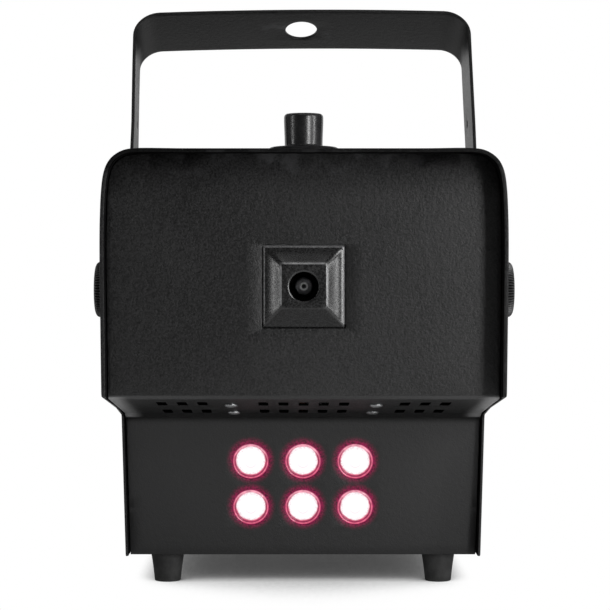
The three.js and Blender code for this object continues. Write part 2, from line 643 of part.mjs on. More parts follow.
function addPipes() {
  // depth, z
  add(model, 'delivery_tube', pipe([
    [PUMP_START - 12.8, PUMP_Z], [158, PUMP_Z], [147, PUMP_Z + 6], [144.5, PUMP_Z + 18],
    [144.5, 150], [142, NOZZLE_Z - 3], [136, NOZZLE_Z], [122, NOZZLE_Z],
  ], 20), FINISH.deliveryTube);
  add(model, 'suction_tube', pipe([
    [PUMP_END + 12.8, PUMP_Z], [257, PUMP_Z], [264, PUMP_Z + 14], [260, 112],
    [244, 132], [SUCTION_DEPTH, 146], [SUCTION_DEPTH, 155],
  ], 16), FINISH.suctionTube);
}

// ---------- main board ----------
function addMainBoard() {
  const seat = 28.2;              // just inside the board, so the components join it
  add(model, 'main_board', join(
    box(plusMinus(75), [234, 298], [27, 28.6]),
    box([-62, -20], [240, 276], [seat, 58]),
    box([2, 22], [244, 260], [seat, 44]),
    box([34, 72], [284, 296], [seat, 40]),
    ...[42, 58].map((x) => uprightRod(6, seat, 48, 12, x, 256)),
    // corner posts
    ...plusMinus(68).flatMap((x) =>
      [239, 293].map((depth) => uprightRod(3, TRAY_TOP, 27.4, 6, x, depth))),
  ), FINISH.board);
}

// ---------- rear controls ----------
// Sections and boxes are drawn about each control's own axis.
const addRear = (name, body, x, finish) =>
  add(model, name, geometryOf(body).translate(x, 0, REAR_Z), finish);
const addRearTurned = (name, points, segments, x, finish) =>
  add(model, name, rearward(turned(points, segments), x, REAR_Z), finish);

function addInlet() {
  const { x, halfWidth, halfHeight } = INLET;
  const socket = [[-11.5, -3.5], [11.5, -3.5], [11.5, 7.5], [7, 12.5], [-7, 12.5], [-11.5, 7.5]];
  const shell = cut(
    join(alongDepth(roundedRect(0, 0, 16, 18.5, 2, 2), OUT, OUT + 2.5),
      box(plusMinus(halfWidth), [283, OUT + 1], plusMinus(halfHeight))),
    alongDepth(socket, 297, 320),
    box(plusMinus(9.3), [286, 320], [-14.3, -5.2]),   // drawer's slot below the socket
  );
  // x, z of the pins
  const pins = [[-6.5, 2], [0, 6], [6.5, 2]].map(([pinX, pinZ]) =>
    box([pinX - 1, pinX + 1], [296.5, 309.5], [pinZ - 1.8, pinZ + 1.8]));
  addRear('rear_inlet', join(shell, ...pins), x, FINISH.plastic);

  const drawer = join(
    box(plusMinus(8.9), [287, OUT + 1.2], [-13.9, -5.6]),
    box(plusMinus(8.9), [OUT + 1, OUT + 4], [-13.0, -6.5]),
  );
  const fuseSpace = box(plusMinus(3.2), [288.2, 309.6], [-12.6, -4]);
  addRear('fuse_drawer', cut(drawer, fuseSpace), x, FINISH.plastic);
  add(model, 'fuse', rearwardRod(2.5, 288.9, 308.9, 10, x, REAR_Z - 9.2), FINISH.fuse);
}
function addSwitch() {
  const { x, halfWidth, halfHeight } = SWITCH;
  addRear('switch_body', cut(
    join(alongDepth(roundedRect(0, 0, 7.6, 11, 1, 2), OUT, OUT + 1.8),
      box(plusMinus(halfWidth), [292, OUT + 1], plusMinus(halfHeight))),
    box(plusMinus(4.9), [300, 320], plusMinus(8.9)),
  ), x, FINISH.plastic);
  const pivot = addTiltedGroup(x, OUT - 1.5, REAR_Z, THREE.MathUtils.degToRad(12));
  // y, z about the pivot
  add(pivot, 'switch_rocker', alongX([
    [-4.5, -5.5], [1.5, -7.6], [4.4, -7.6], [3.2, -3.5], [2.8, 0],
    [3.2, 3.5], [4.4, 7.6], [1.5, 7.6], [-4.5, 5.5],
  ], 4.5), FINISH.gloss);
}
// profiles are radius, depth
function addButton() {
  const { x, radius } = BUTTON;
  addRearTurned('fog_button_body', [
    [0, 292], [radius, 292], [radius, OUT], [8.5, OUT], [8.5, OUT + 1.6], [7.6, OUT + 2.4],
    [4.8, OUT + 2.4], [4.8, 297], [0, 297],
  ], 16, x, FINISH.plastic);
  addRearTurned('fog_button', [
    [0, 300], [4.4, 300], [4.4, OUT + 5], [3.8, OUT + 5.8], [0, OUT + 6.1],
  ], 16, x, FINISH.redButton);
}
function addLamp() {
  const { x, radius } = LAMP;
  addRearTurned('ready_lamp', [
    [0, 296], [radius, 296], [radius, OUT], [4.6, OUT], [4.6, OUT + 1], [3.2, OUT + 1.4],
    [2.6, OUT + 3.2], [1.4, OUT + 4.2], [0, OUT + 4.5],
  ], 14, x, FINISH.greenLamp);
}
function addSocket() {
  const { x, radius } = SOCKET;
  addRearTurned('remote_socket', [
    [0, 290], [radius, 290], [radius, OUT], [8, OUT], [8, OUT + 1.8], [6.6, OUT + 2.6],
    [3.3, OUT + 2.6], [3.3, 293], [0, 293],
  ], 14, x, FINISH.plastic);
}

// ---------- assembly ----------
addHood();
addFrontPanel();
addNozzleCover();
addNozzle();
addHeater();
addHeaterBrackets();
addHeaterSafety();
addChinScrews();
addSideScrews();
addLeds();
addTray();
addFeet();
addBracket();
addClamps();
addTank();
addTankCap();
addPump();
addPipes();
addMainBoard();
addInlet();
addSwitch();
addButton();
addLamp();
addSocket();

export default model;
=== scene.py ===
# A small fog machine: a bent black hood over a folded front panel with a nozzle and six lit
# LEDs, a tray with the rear controls, rubber feet, a tank cap and a clamped carrying strap.
# It stands on z = 0 with its front towards -Y and its width along X. Sizes are in millimetres
# and depth is measured from the hood's front rim towards +Y; material places are in metres.
import math
import bpy
import bmesh
import numpy as np
from mathutils import Vector, Matrix
from mathutils.geometry import delaunay_2d_cdt


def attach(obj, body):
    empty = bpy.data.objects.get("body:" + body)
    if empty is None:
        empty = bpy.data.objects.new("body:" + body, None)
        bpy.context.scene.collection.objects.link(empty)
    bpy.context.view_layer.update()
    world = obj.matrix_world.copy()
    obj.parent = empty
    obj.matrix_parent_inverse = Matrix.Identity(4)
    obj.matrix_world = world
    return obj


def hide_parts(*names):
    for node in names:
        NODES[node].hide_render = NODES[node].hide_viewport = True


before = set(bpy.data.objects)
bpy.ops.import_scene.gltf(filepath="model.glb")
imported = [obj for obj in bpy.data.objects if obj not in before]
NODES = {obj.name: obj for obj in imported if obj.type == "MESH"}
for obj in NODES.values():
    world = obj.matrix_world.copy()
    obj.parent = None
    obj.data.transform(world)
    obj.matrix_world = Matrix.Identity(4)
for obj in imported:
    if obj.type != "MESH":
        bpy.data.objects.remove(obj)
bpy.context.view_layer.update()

MM = 0.001
SIDES = (("left", -1), ("right", 1))

# ------------------------------------------------------------------ shared sizes

HOOD_LENGTH = 322.0
MID = HOOD_LENGTH / 2        # depth at Y = 0
HOOD_TOP, HOOD_LOW = 238.6, 16.6
# right half of the hood's section, (x, z), from the top flat down to the foot
SECTION = [
    (86, HOOD_TOP), (90.6, 237.7), (93.7, 236.2), (96.6, 233.9), (98.9, 230.6), (100.5, 226.0),
    (101.5, 219.0), (102.2, 205.0), (102.4, 188.0), (101.95, 148.6), (101.55, 118.6),
    (101.2, 96.0), (99.7, HOOD_LOW)]

# front panel, (depth, z): upright front, fold, sloping chin, lower face leaning back
PANEL_DEPTH = 16
FOLD_Z = 112.2
CHIN_KNEE = (112.0, 98.2)
CHIN_END = (121.0, 94.2)
FACE_END = (134.29, 16.3)
NOZZLE_Z = 169.3
VENT_ROWS = (49.5, 99.8)     # depths of the two slot rows in the chin
VENT_X = [-74.4, -63.8, -53.1, -21.2, -10.6, 0, 10.6, 21.2, 53.1, 63.8, 74.4]
CHIN_SCREW_X = 38
LED_X = [-29.4, 0, 29.4]
LED_ROWS = [-24.65, -51.3]   # measured down the lower face from the chin's end
LEDS = [(x, z) for z in LED_ROWS for x in LED_X]

AXLE_DEPTH, AXLE_Z = 200, 165.9        # the clamp knobs' axis
AXLE_HOLE = 4.3
SIDE_SCREW_DEPTHS, SIDE_SCREW_Z = (160, 298), 27
SIDE_SCREW_HOLE = 2.1
FOOT_X, FOOT_DEPTHS = 77.4, (("front", 146.4), ("rear", 290))
NECK_DEPTH = 195
CONTROL_Z = 60
BUTTON_X, LAMP_X, JACK_X = 18, 42, 68
KNOB_RIDGES = 60

# ------------------------------------------------------------------ node helpers


class Graph:
    """Node tree of a material or world, emptied and ready to build in."""

    def __init__(self, owner):
        owner.use_nodes = True
        self.tree = owner.node_tree
        self.tree.nodes.clear()

    def node(self, kind, **props):
        node = self.tree.nodes.new(kind)
        for key, value in props.items():
            setattr(node, key, value)
        return node

    def link(self, output, socket):
        self.tree.links.new(output, socket)

    def put(self, socket, value):
        if isinstance(value, bpy.types.NodeSocket):
            self.link(value, socket)
        else:
            socket.default_value = value

    def ramp(self, value, at, to, smooth=True):
        """Value mapped from the span `at` to the span `to`."""
        node = self.node("ShaderNodeMapRange")
        node.interpolation_type = "SMOOTHSTEP" if smooth else "LINEAR"
        self.put(node.inputs["Value"], value)
        for key, number in zip(("From Min", "From Max", "To Min", "To Max"), (*at, *to)):
            node.inputs[key].default_value = number
        return node.outputs["Result"]

    def rise(self, value, at):
        return self.ramp(value, at, to=(0.0, 1.0))

    def fall(self, value, at):
        return self.ramp(value, at, to=(1.0, 0.0))

    def band(self, value, up, down):
        """1 between the spans `up` and `down`, 0 outside them."""
        return self.times(self.rise(value, up), self.fall(value, down))

    def math(self, operation, *values, clamp=False):
        node = self.node("ShaderNodeMath", operation=operation, use_clamp=clamp)
        for socket, value in zip(node.inputs, values):
            self.put(socket, value)
        return node.outputs[0]

    def plus(self, first, second):
        return self.math("ADD", first, second)

    def minus(self, first, second):
        return self.math("SUBTRACT", first, second)

    def size(self, value):
        return self.math("ABSOLUTE", value, 0.0)

    def times(self, product, *factors):
        for factor in factors:
            product = self.math("MULTIPLY", product, factor)
        return product

    def vector(self, operation, first, second=None):
        node = self.node("ShaderNodeVectorMath", operation=operation)
        self.put(node.inputs[0], first)
        if second is not None:
            self.put(node.inputs[1], second)
        scalar = operation in ("DISTANCE", "DOT_PRODUCT", "LENGTH")
        return node.outputs["Value" if scalar else "Vector"]

    def split(self, vector):
        node = self.node("ShaderNodeSeparateXYZ")
        self.link(vector, node.inputs[0])
        return node.outputs


class Material(Graph):
    """Principled material with object coordinates."""

    def __init__(self, name):
        self.mat = bpy.data.materials.new(name)
        super().__init__(self.mat)
        self.out = self.node("ShaderNodeOutputMaterial")
        self.bsdf = self.node("ShaderNodeBsdfPrincipled")
        self.link(self.bsdf.outputs["BSDF"], self.out.inputs["Surface"])
        self.co = self.node("ShaderNodeTexCoord").outputs["Object"]

    def set(self, name, value):
        self.put(self.bsdf.inputs[name], value)

    def noise(self, scale, detail=2.0, rough=0.5, vector=None):
        node = self.node("ShaderNodeTexNoise")
        node.inputs["Scale"].default_value = scale
        node.inputs["Detail"].default_value = detail
        node.inputs["Roughness"].default_value = rough
        self.link(vector or self.co, node.inputs["Vector"])
        return node.outputs["Fac"]

    def mix(self, factor, first, second):
        node = self.node("ShaderNodeMix", data_type="RGBA")
        for index, value in ((0, factor), (6, first), (7, second)):
            self.put(node.inputs[index], value)
        return node.outputs[2]

    def bump(self, height, strength, distance):
        node = self.node("ShaderNodeBump")
        node.inputs["Strength"].default_value = strength
        node.inputs["Distance"].default_value = distance
        self.link(height, node.inputs["Height"])
        self.set("Normal", node.outputs["Normal"])

    def scaled(self, scale):
        node = self.node("ShaderNodeMapping")
        node.inputs["Scale"].default_value = scale
        self.link(self.co, node.inputs["Vector"])
        return node.outputs["Vector"]

    def axis(self, index):
        return self.split(self.co)[index]

    def offset_from(self, centre, keep):
        """Vector from a centre, with only the axes marked 1 in `keep`."""
        return self.vector("MULTIPLY", self.vector("SUBTRACT", self.co, centre), keep)

    def outlet_radius(self):
        """Distance from the nozzle's axis."""
        out_x = self.times(self.axis(0), self.axis(0))
        up = self.minus(self.axis(2), NOZZLE_Z * MM)
        return self.math("SQRT", self.plus(out_x, self.times(up, up)))

    def edge_wear(self):
        """1 on outward edges, 0 on flats."""
        geometry = self.node("ShaderNodeNewGeometry")
        return self.rise(geometry.outputs["Pointiness"], at=(0.515, 0.56))

    def stained(self, clean, dark):
        stain = self.noise(scale=120, detail=4, rough=0.6)
        return self.mix(self.rise(stain, at=(0.4, 0.65)), clean, dark)

    def speckled(self, low, high):
        speck = self.noise(scale=210, detail=3, rough=0.55)
        return self.mix(self.rise(speck, at=(0.38, 0.62)), low, high)

    def seen_factor(self, other):
        """1 towards the camera, `other` towards everything else."""
        path = self.node("ShaderNodeLightPath")
        return self.plus(other, self.times(path.outputs["Is Camera Ray"], 1.0 - other))


def rgb(r, g, b):
    return (r, g, b, 1.0)


def shade(color, factor):
    return rgb(*(c * factor for c in color))


# ------------------------------------------------------------------ base materials

def powder(name, base=0.0082, rough=0.42, bump=0.9, spec=0.38):
    """Black powder coat; keeps its colour and roughness for further layers."""
    n = Material(name)
    fine = n.noise(scale=1050, detail=3, rough=0.7)
    peel = n.noise(scale=430, detail=2, rough=0.5)
    cloud = n.noise(scale=14, detail=3, rough=0.55)
    tint = (base, base, base * 1.02)
    tone = n.plus(n.times(fine, 0.78), n.times(cloud, 0.22))
    color = n.mix(n.rise(tone, at=(0.38, 0.62)), shade(tint, 0.42), shade(tint, 1.62))
    patches = n.ramp(n.noise(scale=95, detail=4, rough=0.6), at=(0.48, 0.62), to=(0.0, 0.55))
    edge_wear_and_highlight = n.times(n.edge_wear(), patches)
    n.tint = n.mix(edge_wear_and_highlight, color, rgb(0.045, 0.045, 0.047))
    n.rough = n.plus(n.ramp(fine, at=(0.3, 0.7), to=(rough - 0.06, rough + 0.08)),
                     n.ramp(cloud, at=(0.35, 0.65), to=(-0.02, 0.025)))
    if spec is not None:
        n.set("Specular IOR Level", spec)
    n.set("Base Color", n.tint)
    n.set("Roughness", n.rough)
    height = n.plus(n.times(fine, 0.8), n.times(peel, 0.8))
    n.bump(height, strength=bump, distance=0.00022)
    return n


def metal(name, color=None, rough=None, brush=None, dirt=0.25, grain=900):
    """Streaked metal; a missing colour or roughness is left to the caller."""
    n = Material(name)
    streak = n.noise(scale=grain, detail=4, rough=0.6, vector=n.scaled(brush) if brush else None)
    if color:
        n.set("Base Color", n.stained(rgb(*color), shade(color, 1 - dirt)))
    n.set("Metallic", 1.0)
    if rough:
        n.set("Roughness", n.ramp(streak, at=(0.3, 0.7), to=(rough - 0.08, rough + 0.12)))
    n.bump(streak, strength=0.25, distance=0.00004)
    return n


def moulded(name, color, rough, texture=0.3, scale=1300, spec=0.5):
    """Moulded plastic or rubber; a colour of None is left to the caller."""
    n = Material(name)
    spark = n.noise(scale=scale, detail=3, rough=0.6)
    smear = n.noise(scale=60, detail=3, rough=0.6)
    if color:
        n.set("Base Color", n.speckled(shade(color, 0.8), shade(color, 1.2)))
    n.set("Roughness", n.plus(n.ramp(spark, at=(0.3, 0.7), to=(rough - 0.04, rough + 0.05)),
                              n.ramp(smear, at=(0.4, 0.65), to=(-0.03, 0.05))))
    n.set("Specular IOR Level", spec)
    n.bump(spark, strength=texture, distance=0.00006)
    return n


# ------------------------------------------------------------------ mesh helpers

def mesh_object(name, verts, faces, sharp=38):
    mesh = bpy.data.meshes.new(name)
    mesh.from_pydata([tuple(v) for v in verts], [], [list(f) for f in faces])
    mesh.validate()
    bm = bmesh.new()
    bm.from_mesh(mesh)
    bmesh.ops.remove_doubles(bm, verts=bm.verts, dist=1e-7)
    bmesh.ops.dissolve_degenerate(bm, dist=1e-8, edges=bm.edges)
    bmesh.ops.recalc_face_normals(bm, faces=bm.faces)
    bm.to_mesh(mesh)
    bm.free()
    mesh.shade_smooth()
    mesh.set_sharp_from_angle(angle=math.radians(sharp))
    ob = bpy.data.objects.new(name, mesh)
    bpy.context.scene.collection.objects.link(ob)
    return ob


def dress(ob, material, body, slot, *replaced):
    ob.data.materials.append(material.mat)
    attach(ob, body)
    if replaced:
        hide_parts(*replaced)


def point(x, depth, z):
    return Vector((x * MM, (depth - MID) * MM, z * MM))


def frame_at(origin, xaxis, zaxis):
    """Matrix with its origin in metres and local axes in millimetres."""
    z = Vector(zaxis).normalized()
    x = Vector(xaxis).normalized()
    y = z.cross(x).normalized()
    x = y.cross(z).normalized()
    matrix = Matrix((x, y, z)).transposed().to_4x4()
    matrix.translation = Vector(origin)
    return matrix @ Matrix.Scale(MM, 4)


def upright(x, depth, z=0):
    return frame_at(point(x, depth, z), (1, 0, 0), (0, 0, 1))


def lathe_data(profile, segments, matrix, wobble=None):
    """profile: (radius, height) pairs from axis to axis, or a closed loop (first == last)."""
    closed = profile[0] == profile[-1]
    stations = profile[:-1] if closed else profile
    verts, rings = [], []
    for radius, height in stations:
        ring = []
        if radius < 1e-6:
            ring.append(len(verts))
            verts.append(matrix @ Vector((0, 0, height)))
        else:
            for i in range(segments):
                a = 2 * math.pi * i / segments
                r = radius + (wobble(a, height, radius) if wobble else 0.0)
                ring.append(len(verts))
                verts.append(matrix @ Vector((r * math.cos(a), r * math.sin(a), height)))
        rings.append(ring)
    faces = []
    count = len(rings)
    for k in range(count if closed else count - 1):
        a, b = rings[k], rings[(k + 1) % count]
        for i in range(segments):
            j = (i + 1) % segments
            if len(a) == 1:
                faces.append((a[0], b[j], b[i]))
            elif len(b) == 1:
                faces.append((a[i], a[j], b[0]))
            else:
                faces.append((a[i], a[j], b[j], b[i]))
    return verts, faces


def lathe(name, profile, segments, matrix, wobble=None, sharp=38):
    return mesh_object(name, *lathe_data(profile, segments, matrix, wobble), sharp=sharp)


def merged(name, parts, sharp):
    verts, faces = [], []
    for part_verts, part_faces in parts:
        base = len(verts)
        verts += part_verts
        faces += [tuple(i + base for i in face) for face in part_faces]
    return mesh_object(name, verts, faces, sharp)


def skin_data(rings, closed=False):
    """Rings skinned in order; closed joins last to first, otherwise both ends are capped."""
    n, count = len(rings[0]), len(rings)
    verts = [v for ring in rings for v in ring]
    faces = []
    for a in range(count if closed else count - 1):
        b = (a + 1) % count
        for i in range(n):
            j = (i + 1) % n
            faces.append((a * n + i, a * n + j, b * n + j, b * n + i))
    if not closed:
        for k in (0, count - 1):
            centre = len(verts)
            verts.append(sum(rings[k], Vector()) / n)
            faces += [(k * n + i, k * n + (i + 1) % n, centre) for i in range(n)]
    return verts, faces


def rounded(points, radius, steps, closed=False):
    """2D polyline with its corners turned into arcs; radius is one value or a list."""
    out = []
    n = len(points)
    for i in range(n):
        p = Vector(points[i])
        r = radius[i] if isinstance(radius, list) else radius
        if r <= 0 or (not closed and i in (0, n - 1)):
            out.append(tuple(p))
            continue
        to_last = (Vector(points[i - 1]) - p).normalized()
        to_next = (Vector(points[(i + 1) % n]) - p).normalized()
        angle = to_last.angle(to_next)
        if angle > math.pi - 1e-3:
            out.append(tuple(p))
            continue
        cut = r / math.tan(angle / 2)
        centre = (to_last + to_next).normalized() * (r / math.sin(angle / 2)) + p
        start, end = p + to_last * cut - centre, p + to_next * cut - centre
        turn = start.angle(end)
        if start.x * end.y - start.y * end.x <= 0:
            turn = -turn
        for k in range(steps + 1):
            t = turn * k / steps
            out.append((centre.x + start.x * math.cos(t) - start.y * math.sin(t),
                        centre.y + start.x * math.sin(t) + start.y * math.cos(t)))
    return out


def circle2(cx, cy, radius, segments):
    angles = [2 * math.pi * i / segments for i in range(segments)]
    return [(cx + radius * math.cos(a), cy + radius * math.sin(a)) for a in angles]


def rect2(cx, cy, width, height, radius, steps=3):
    x, y = width / 2, height / 2
    corners = [(cx - x, cy - y), (cx + x, cy - y), (cx + x, cy + y), (cx - x, cy + y)]
    return rounded(corners, radius, steps, closed=True)


def mirrored(right):
    return right + [(-x, s) for x, s in reversed(right)]


def unit_rows(vectors):
    return vectors / np.linalg.norm(vectors, axis=1)[:, None]


def left_normals(directions):
    return np.stack([-directions[:, 1], directions[:, 0]], 1)


class Path2:
    """Arc-length walk along a dense 2D polyline, with the normal on its left."""

    def __init__(self, points):
        kept = [points[0]]
        for p in points[1:]:
            if math.hypot(p[0] - kept[-1][0], p[1] - kept[-1][1]) > 1e-6:
                kept.append(p)
        self.p = np.array(kept, float)
        steps = np.diff(self.p, axis=0)
        self.s = np.concatenate([[0], np.cumsum(np.hypot(steps[:, 0], steps[:, 1]))])
        along = unit_rows(steps)
        tangent = unit_rows(np.vstack([along[:1], along[:-1] + along[1:], along[-1:]]))
        # joints reach further, so that an offset keeps the sheet's thickness
        reach = np.ones(len(kept))
        reach[1:-1] = 1 / np.clip(np.sum(tangent[1:-1] * along[:-1], 1), 0.3, 1)
        self.n = left_normals(tangent) * reach[:, None]
        self.total = self.s[-1]

    def offset(self, s, amount=0.0):
        """Point at arc length s, moved left by amount."""
        return tuple(float(np.interp(s, self.s, self.p[:, i])
                           + np.interp(s, self.s, self.n[:, i]) * amount) for i in (0, 1))

    def find(self, axis, value, lo, hi):
        """Arc length between lo and hi where a coordinate comes nearest to value."""
        s = np.linspace(lo, hi, 4001)
        return float(s[np.argmin(np.abs(np.interp(s, self.s, self.p[:, axis]) - value))])

    def lines(self, flats, margin=0.5):
        """The path's own joints, plus the values of flats that keep clear of them."""
        own = [float(s) for s in self.s if margin < s < self.total - margin]
        return sorted(own + [f for f in flats if all(abs(f - s) > 1 for s in own)])


def inset_loop(loop, distance):
    """Closed loop moved towards its own inside."""
    p = np.array(loop)
    last, following = np.roll(p, 1, 0), np.roll(p, -1, 0)
    area = 0.5 * np.sum(p[:, 0] * following[:, 1] - following[:, 0] * p[:, 1])
    sign = 1 if area > 0 else -1
    n1 = left_normals(unit_rows(p - last)) * sign
    n2 = left_normals(unit_rows(following - p)) * sign
    spread = np.clip(1 + np.sum(n1 * n2, 1), 0.35, 2)
    return [tuple(q) for q in p + (n1 + n2) / spread[:, None] * distance]


def even_odd(loops, points):
    inside = np.zeros(len(points), bool)
    x, y = points[:, 0], points[:, 1]
    for loop in loops:
        p = np.array(loop)
        for (x0, y0), (x1, y1) in zip(p, np.roll(p, -1, 0)):
            if y0 != y1:
                inside ^= ((y0 > y) != (y1 > y)) & (x < (x1 - x0) * (y - y0) / (y1 - y0) + x0)
    return inside


def edge_distance(loops, points):
    distance = np.full(len(points), 1e9)
    for loop in loops:
        start = np.array(loop)
        side = np.roll(start, -1, 0) - start
        squared = np.sum(side * side, 1)
        for i in range(len(start)):
            if squared[i] == 0:
                continue
            t = np.clip(((points - start[i]) @ side[i]) / squared[i], 0, 1)
            gap = np.linalg.norm(points - (start[i] + t[:, None] * side[i]), axis=1)
            distance = np.minimum(distance, gap)
    return distance


def sheet_data(outline, holes, u_lines, v_lines, skin, edge, steps):
    """A bent sheet from its flat pattern of closed loops, in mm. skin(u, v, t) gives the point
    on one face at t = 0 and on the other at t = 1; edge is the rounding of every cut edge."""
    loops = [outline] + holes
    insets = []
    margins = [edge * (1 - math.sin(math.pi / 2 * k / steps)) for k in range(steps)]
    for k, loop in enumerate(loops):
        insets += [inset_loop(loop, t if k == 0 else -t) for t in margins]
    points, edges = [], []
    for loop in loops + insets:
        first, n = len(points), len(loop)
        points.extend(Vector(p) for p in loop)
        edges.extend((first + i, first + (i + 1) % n) for i in range(n))
    u0, v0 = np.array(outline).min(0) - 1
    u1, v1 = np.array(outline).max(0) + 1
    ends = [((u, v0), (u, v1)) for u in u_lines] + [((u0, v), (u1, v)) for v in v_lines]
    for start, end in ends:
        points.extend([Vector(start), Vector(end)])
        edges.append((len(points) - 2, len(points) - 1))
    flat, _, cells, _, _, _ = delaunay_2d_cdt(points, edges, [], 0, 1e-5)
    flat = np.array([(p[0], p[1]) for p in flat])
    triangles = np.array([f for f in cells if len(f) == 3])
    triangles = triangles[even_odd(loops, flat[triangles].mean(1))]
    used = np.unique(triangles)
    index = {int(g): i for i, g in enumerate(used)}
    flat = flat[used]
    x = np.clip(edge - edge_distance(loops, flat), 0, edge)
    drop = edge - np.sqrt(np.maximum(edge * edge - x * x, 0))
    skins = [[Vector(skin(u, v, t)) for u, v in flat] for t in (0, 1)]
    verts = []
    for near, far in (skins, skins[::-1]):
        for a, b, d in zip(near, far, drop):
            verts.append((a + (b - a) * (d / (b - a).length)) * MM)
    n = len(flat)
    faces, sides = [], {}
    for triangle in triangles:
        a, b, c = (index[int(g)] for g in triangle)
        faces.append((a, b, c))
        faces.append((a + n, c + n, b + n))
        for side in ((a, b), (b, c), (c, a)):
            sides[side] = True
    for a, b in sides:
        if (b, a) not in sides:
            faces.append((b, a, a + n, b + n))
    return verts, faces


# ------------------------------------------------------------------ hood section and frames

def catmull(points, per_span):
    """Centripetal Catmull-Rom curve through the points."""
    def blend(a, b, ta, tb, t):
        return (tb - t) / (tb - ta) * a + (t - ta) / (tb - ta) * b

    p = [np.array(q, float) for q in points]
    p = [2 * p[0] - p[1]] + p + [2 * p[-1] - p[-2]]
    out = []
    for i in range(1, len(p) - 2):
        p0, p1, p2, p3 = p[i - 1:i + 3]
        t1 = np.linalg.norm(p1 - p0) ** 0.5
        t2 = t1 + np.linalg.norm(p2 - p1) ** 0.5
        t3 = t2 + np.linalg.norm(p3 - p2) ** 0.5
        for k in range(per_span):
            t = t1 + (t2 - t1) * k / per_span
            a1 = blend(p0, p1, 0, t1, t)
            a2 = blend(p1, p2, t1, t2, t)
            a3 = blend(p2, p3, t2, t3, t)
            b1 = blend(a1, a2, 0, t2, t)
            b2 = blend(a2, a3, t1, t3, t)
            out.append(tuple(blend(b1, b2, t1, t2, t)))
    out.append(tuple(p[-2]))
    return out


HOOD_RIGHT = [(0.0, HOOD_TOP), (30.0, HOOD_TOP)] + catmull([(60, HOOD_TOP)] + SECTION, 7)
# left foot, over the top, right foot: the left-hand normal points outwards
HOOD = Path2([(-x, z) for x, z in reversed(HOOD_RIGHT[1:])] + HOOD_RIGHT)


def half_width(z):
    xs, zs = zip(*reversed(HOOD_RIGHT))
    return float(np.interp(z, zs, xs))


def hood_corner(top_z, inset):
    """(x, z) round the hood's inner right corner, from the top downwards."""
    wall = [HOOD.offset(s, -inset) for s in np.linspace(HOOD.total / 2, HOOD.total, 700)]
    corner = [(84.0, top_z)]
    for k in range(1, 13):
        z = top_z - 20.0 * (k / 12) ** 2
        corner.append((min(wall, key=lambda q: abs(q[1] - z))[0], z))
    return corner


chin_slope = math.atan2(FOLD_Z - CHIN_KNEE[1], CHIN_KNEE[0] - PANEL_DEPTH)
face_lean = math.atan2(FACE_END[0] - CHIN_END[0], CHIN_END[1] - FACE_END[1])
CHIN = frame_at(point(0, PANEL_DEPTH, FOLD_Z), (1, 0, 0),
                (0, math.sin(chin_slope), math.cos(chin_slope)))
FACE = frame_at(point(0, *CHIN_END), (1, 0, 0), (0, -math.sin(face_lean), math.cos(face_lean)))
LED_AT = [FACE @ Vector((x, 0, z)) for x, z in LEDS]

# ------------------------------------------------------------------ materials


def hood_material():
    """Powder coat, with painted shade on the inner faces and along the top and right of the front
    rim.
    """
    n = powder("powder_hood", base=0.0065, spec=None)
    geometry = n.node("ShaderNodeNewGeometry")
    # painted shade: faces turned inwards are made darker, rougher and less shiny, as if unlit
    outwards = n.offset_from((0.0, 0.0, 0.10), keep=(1.0, 0.0, 1.0))
    facing = n.vector("DOT_PRODUCT", outwards, geometry.outputs["Normal"])
    inner = n.fall(facing, at=(-0.06, -0.02))
    color = n.mix(inner, n.tint, rgb(0.0016, 0.0016, 0.0017))
    # painted shade: the front rim is made darker and less shiny along its top and its right side
    rim = n.math("MAXIMUM", n.rise(n.axis(2), at=(0.2245, 0.2300)),
                 n.ramp(n.axis(0), at=(0.085, 0.098), to=(0.0, 0.7)))
    rim = n.times(rim, n.fall(n.axis(1), at=(-0.1590, -0.1575)))
    color = n.mix(n.times(rim, 0.65), color, rgb(0.0010, 0.0010, 0.0010))
    dull = n.minus(1.0, n.times(rim, 0.8))
    sheen = n.ramp(inner, at=(0.0, 1.0), to=(0.34, 0.05), smooth=False)
    n.set("Specular IOR Level", n.times(sheen, dull))
    n.set("Base Color", color)
    n.set("Roughness", n.plus(n.rough, n.times(inner, 0.4)))
    return n


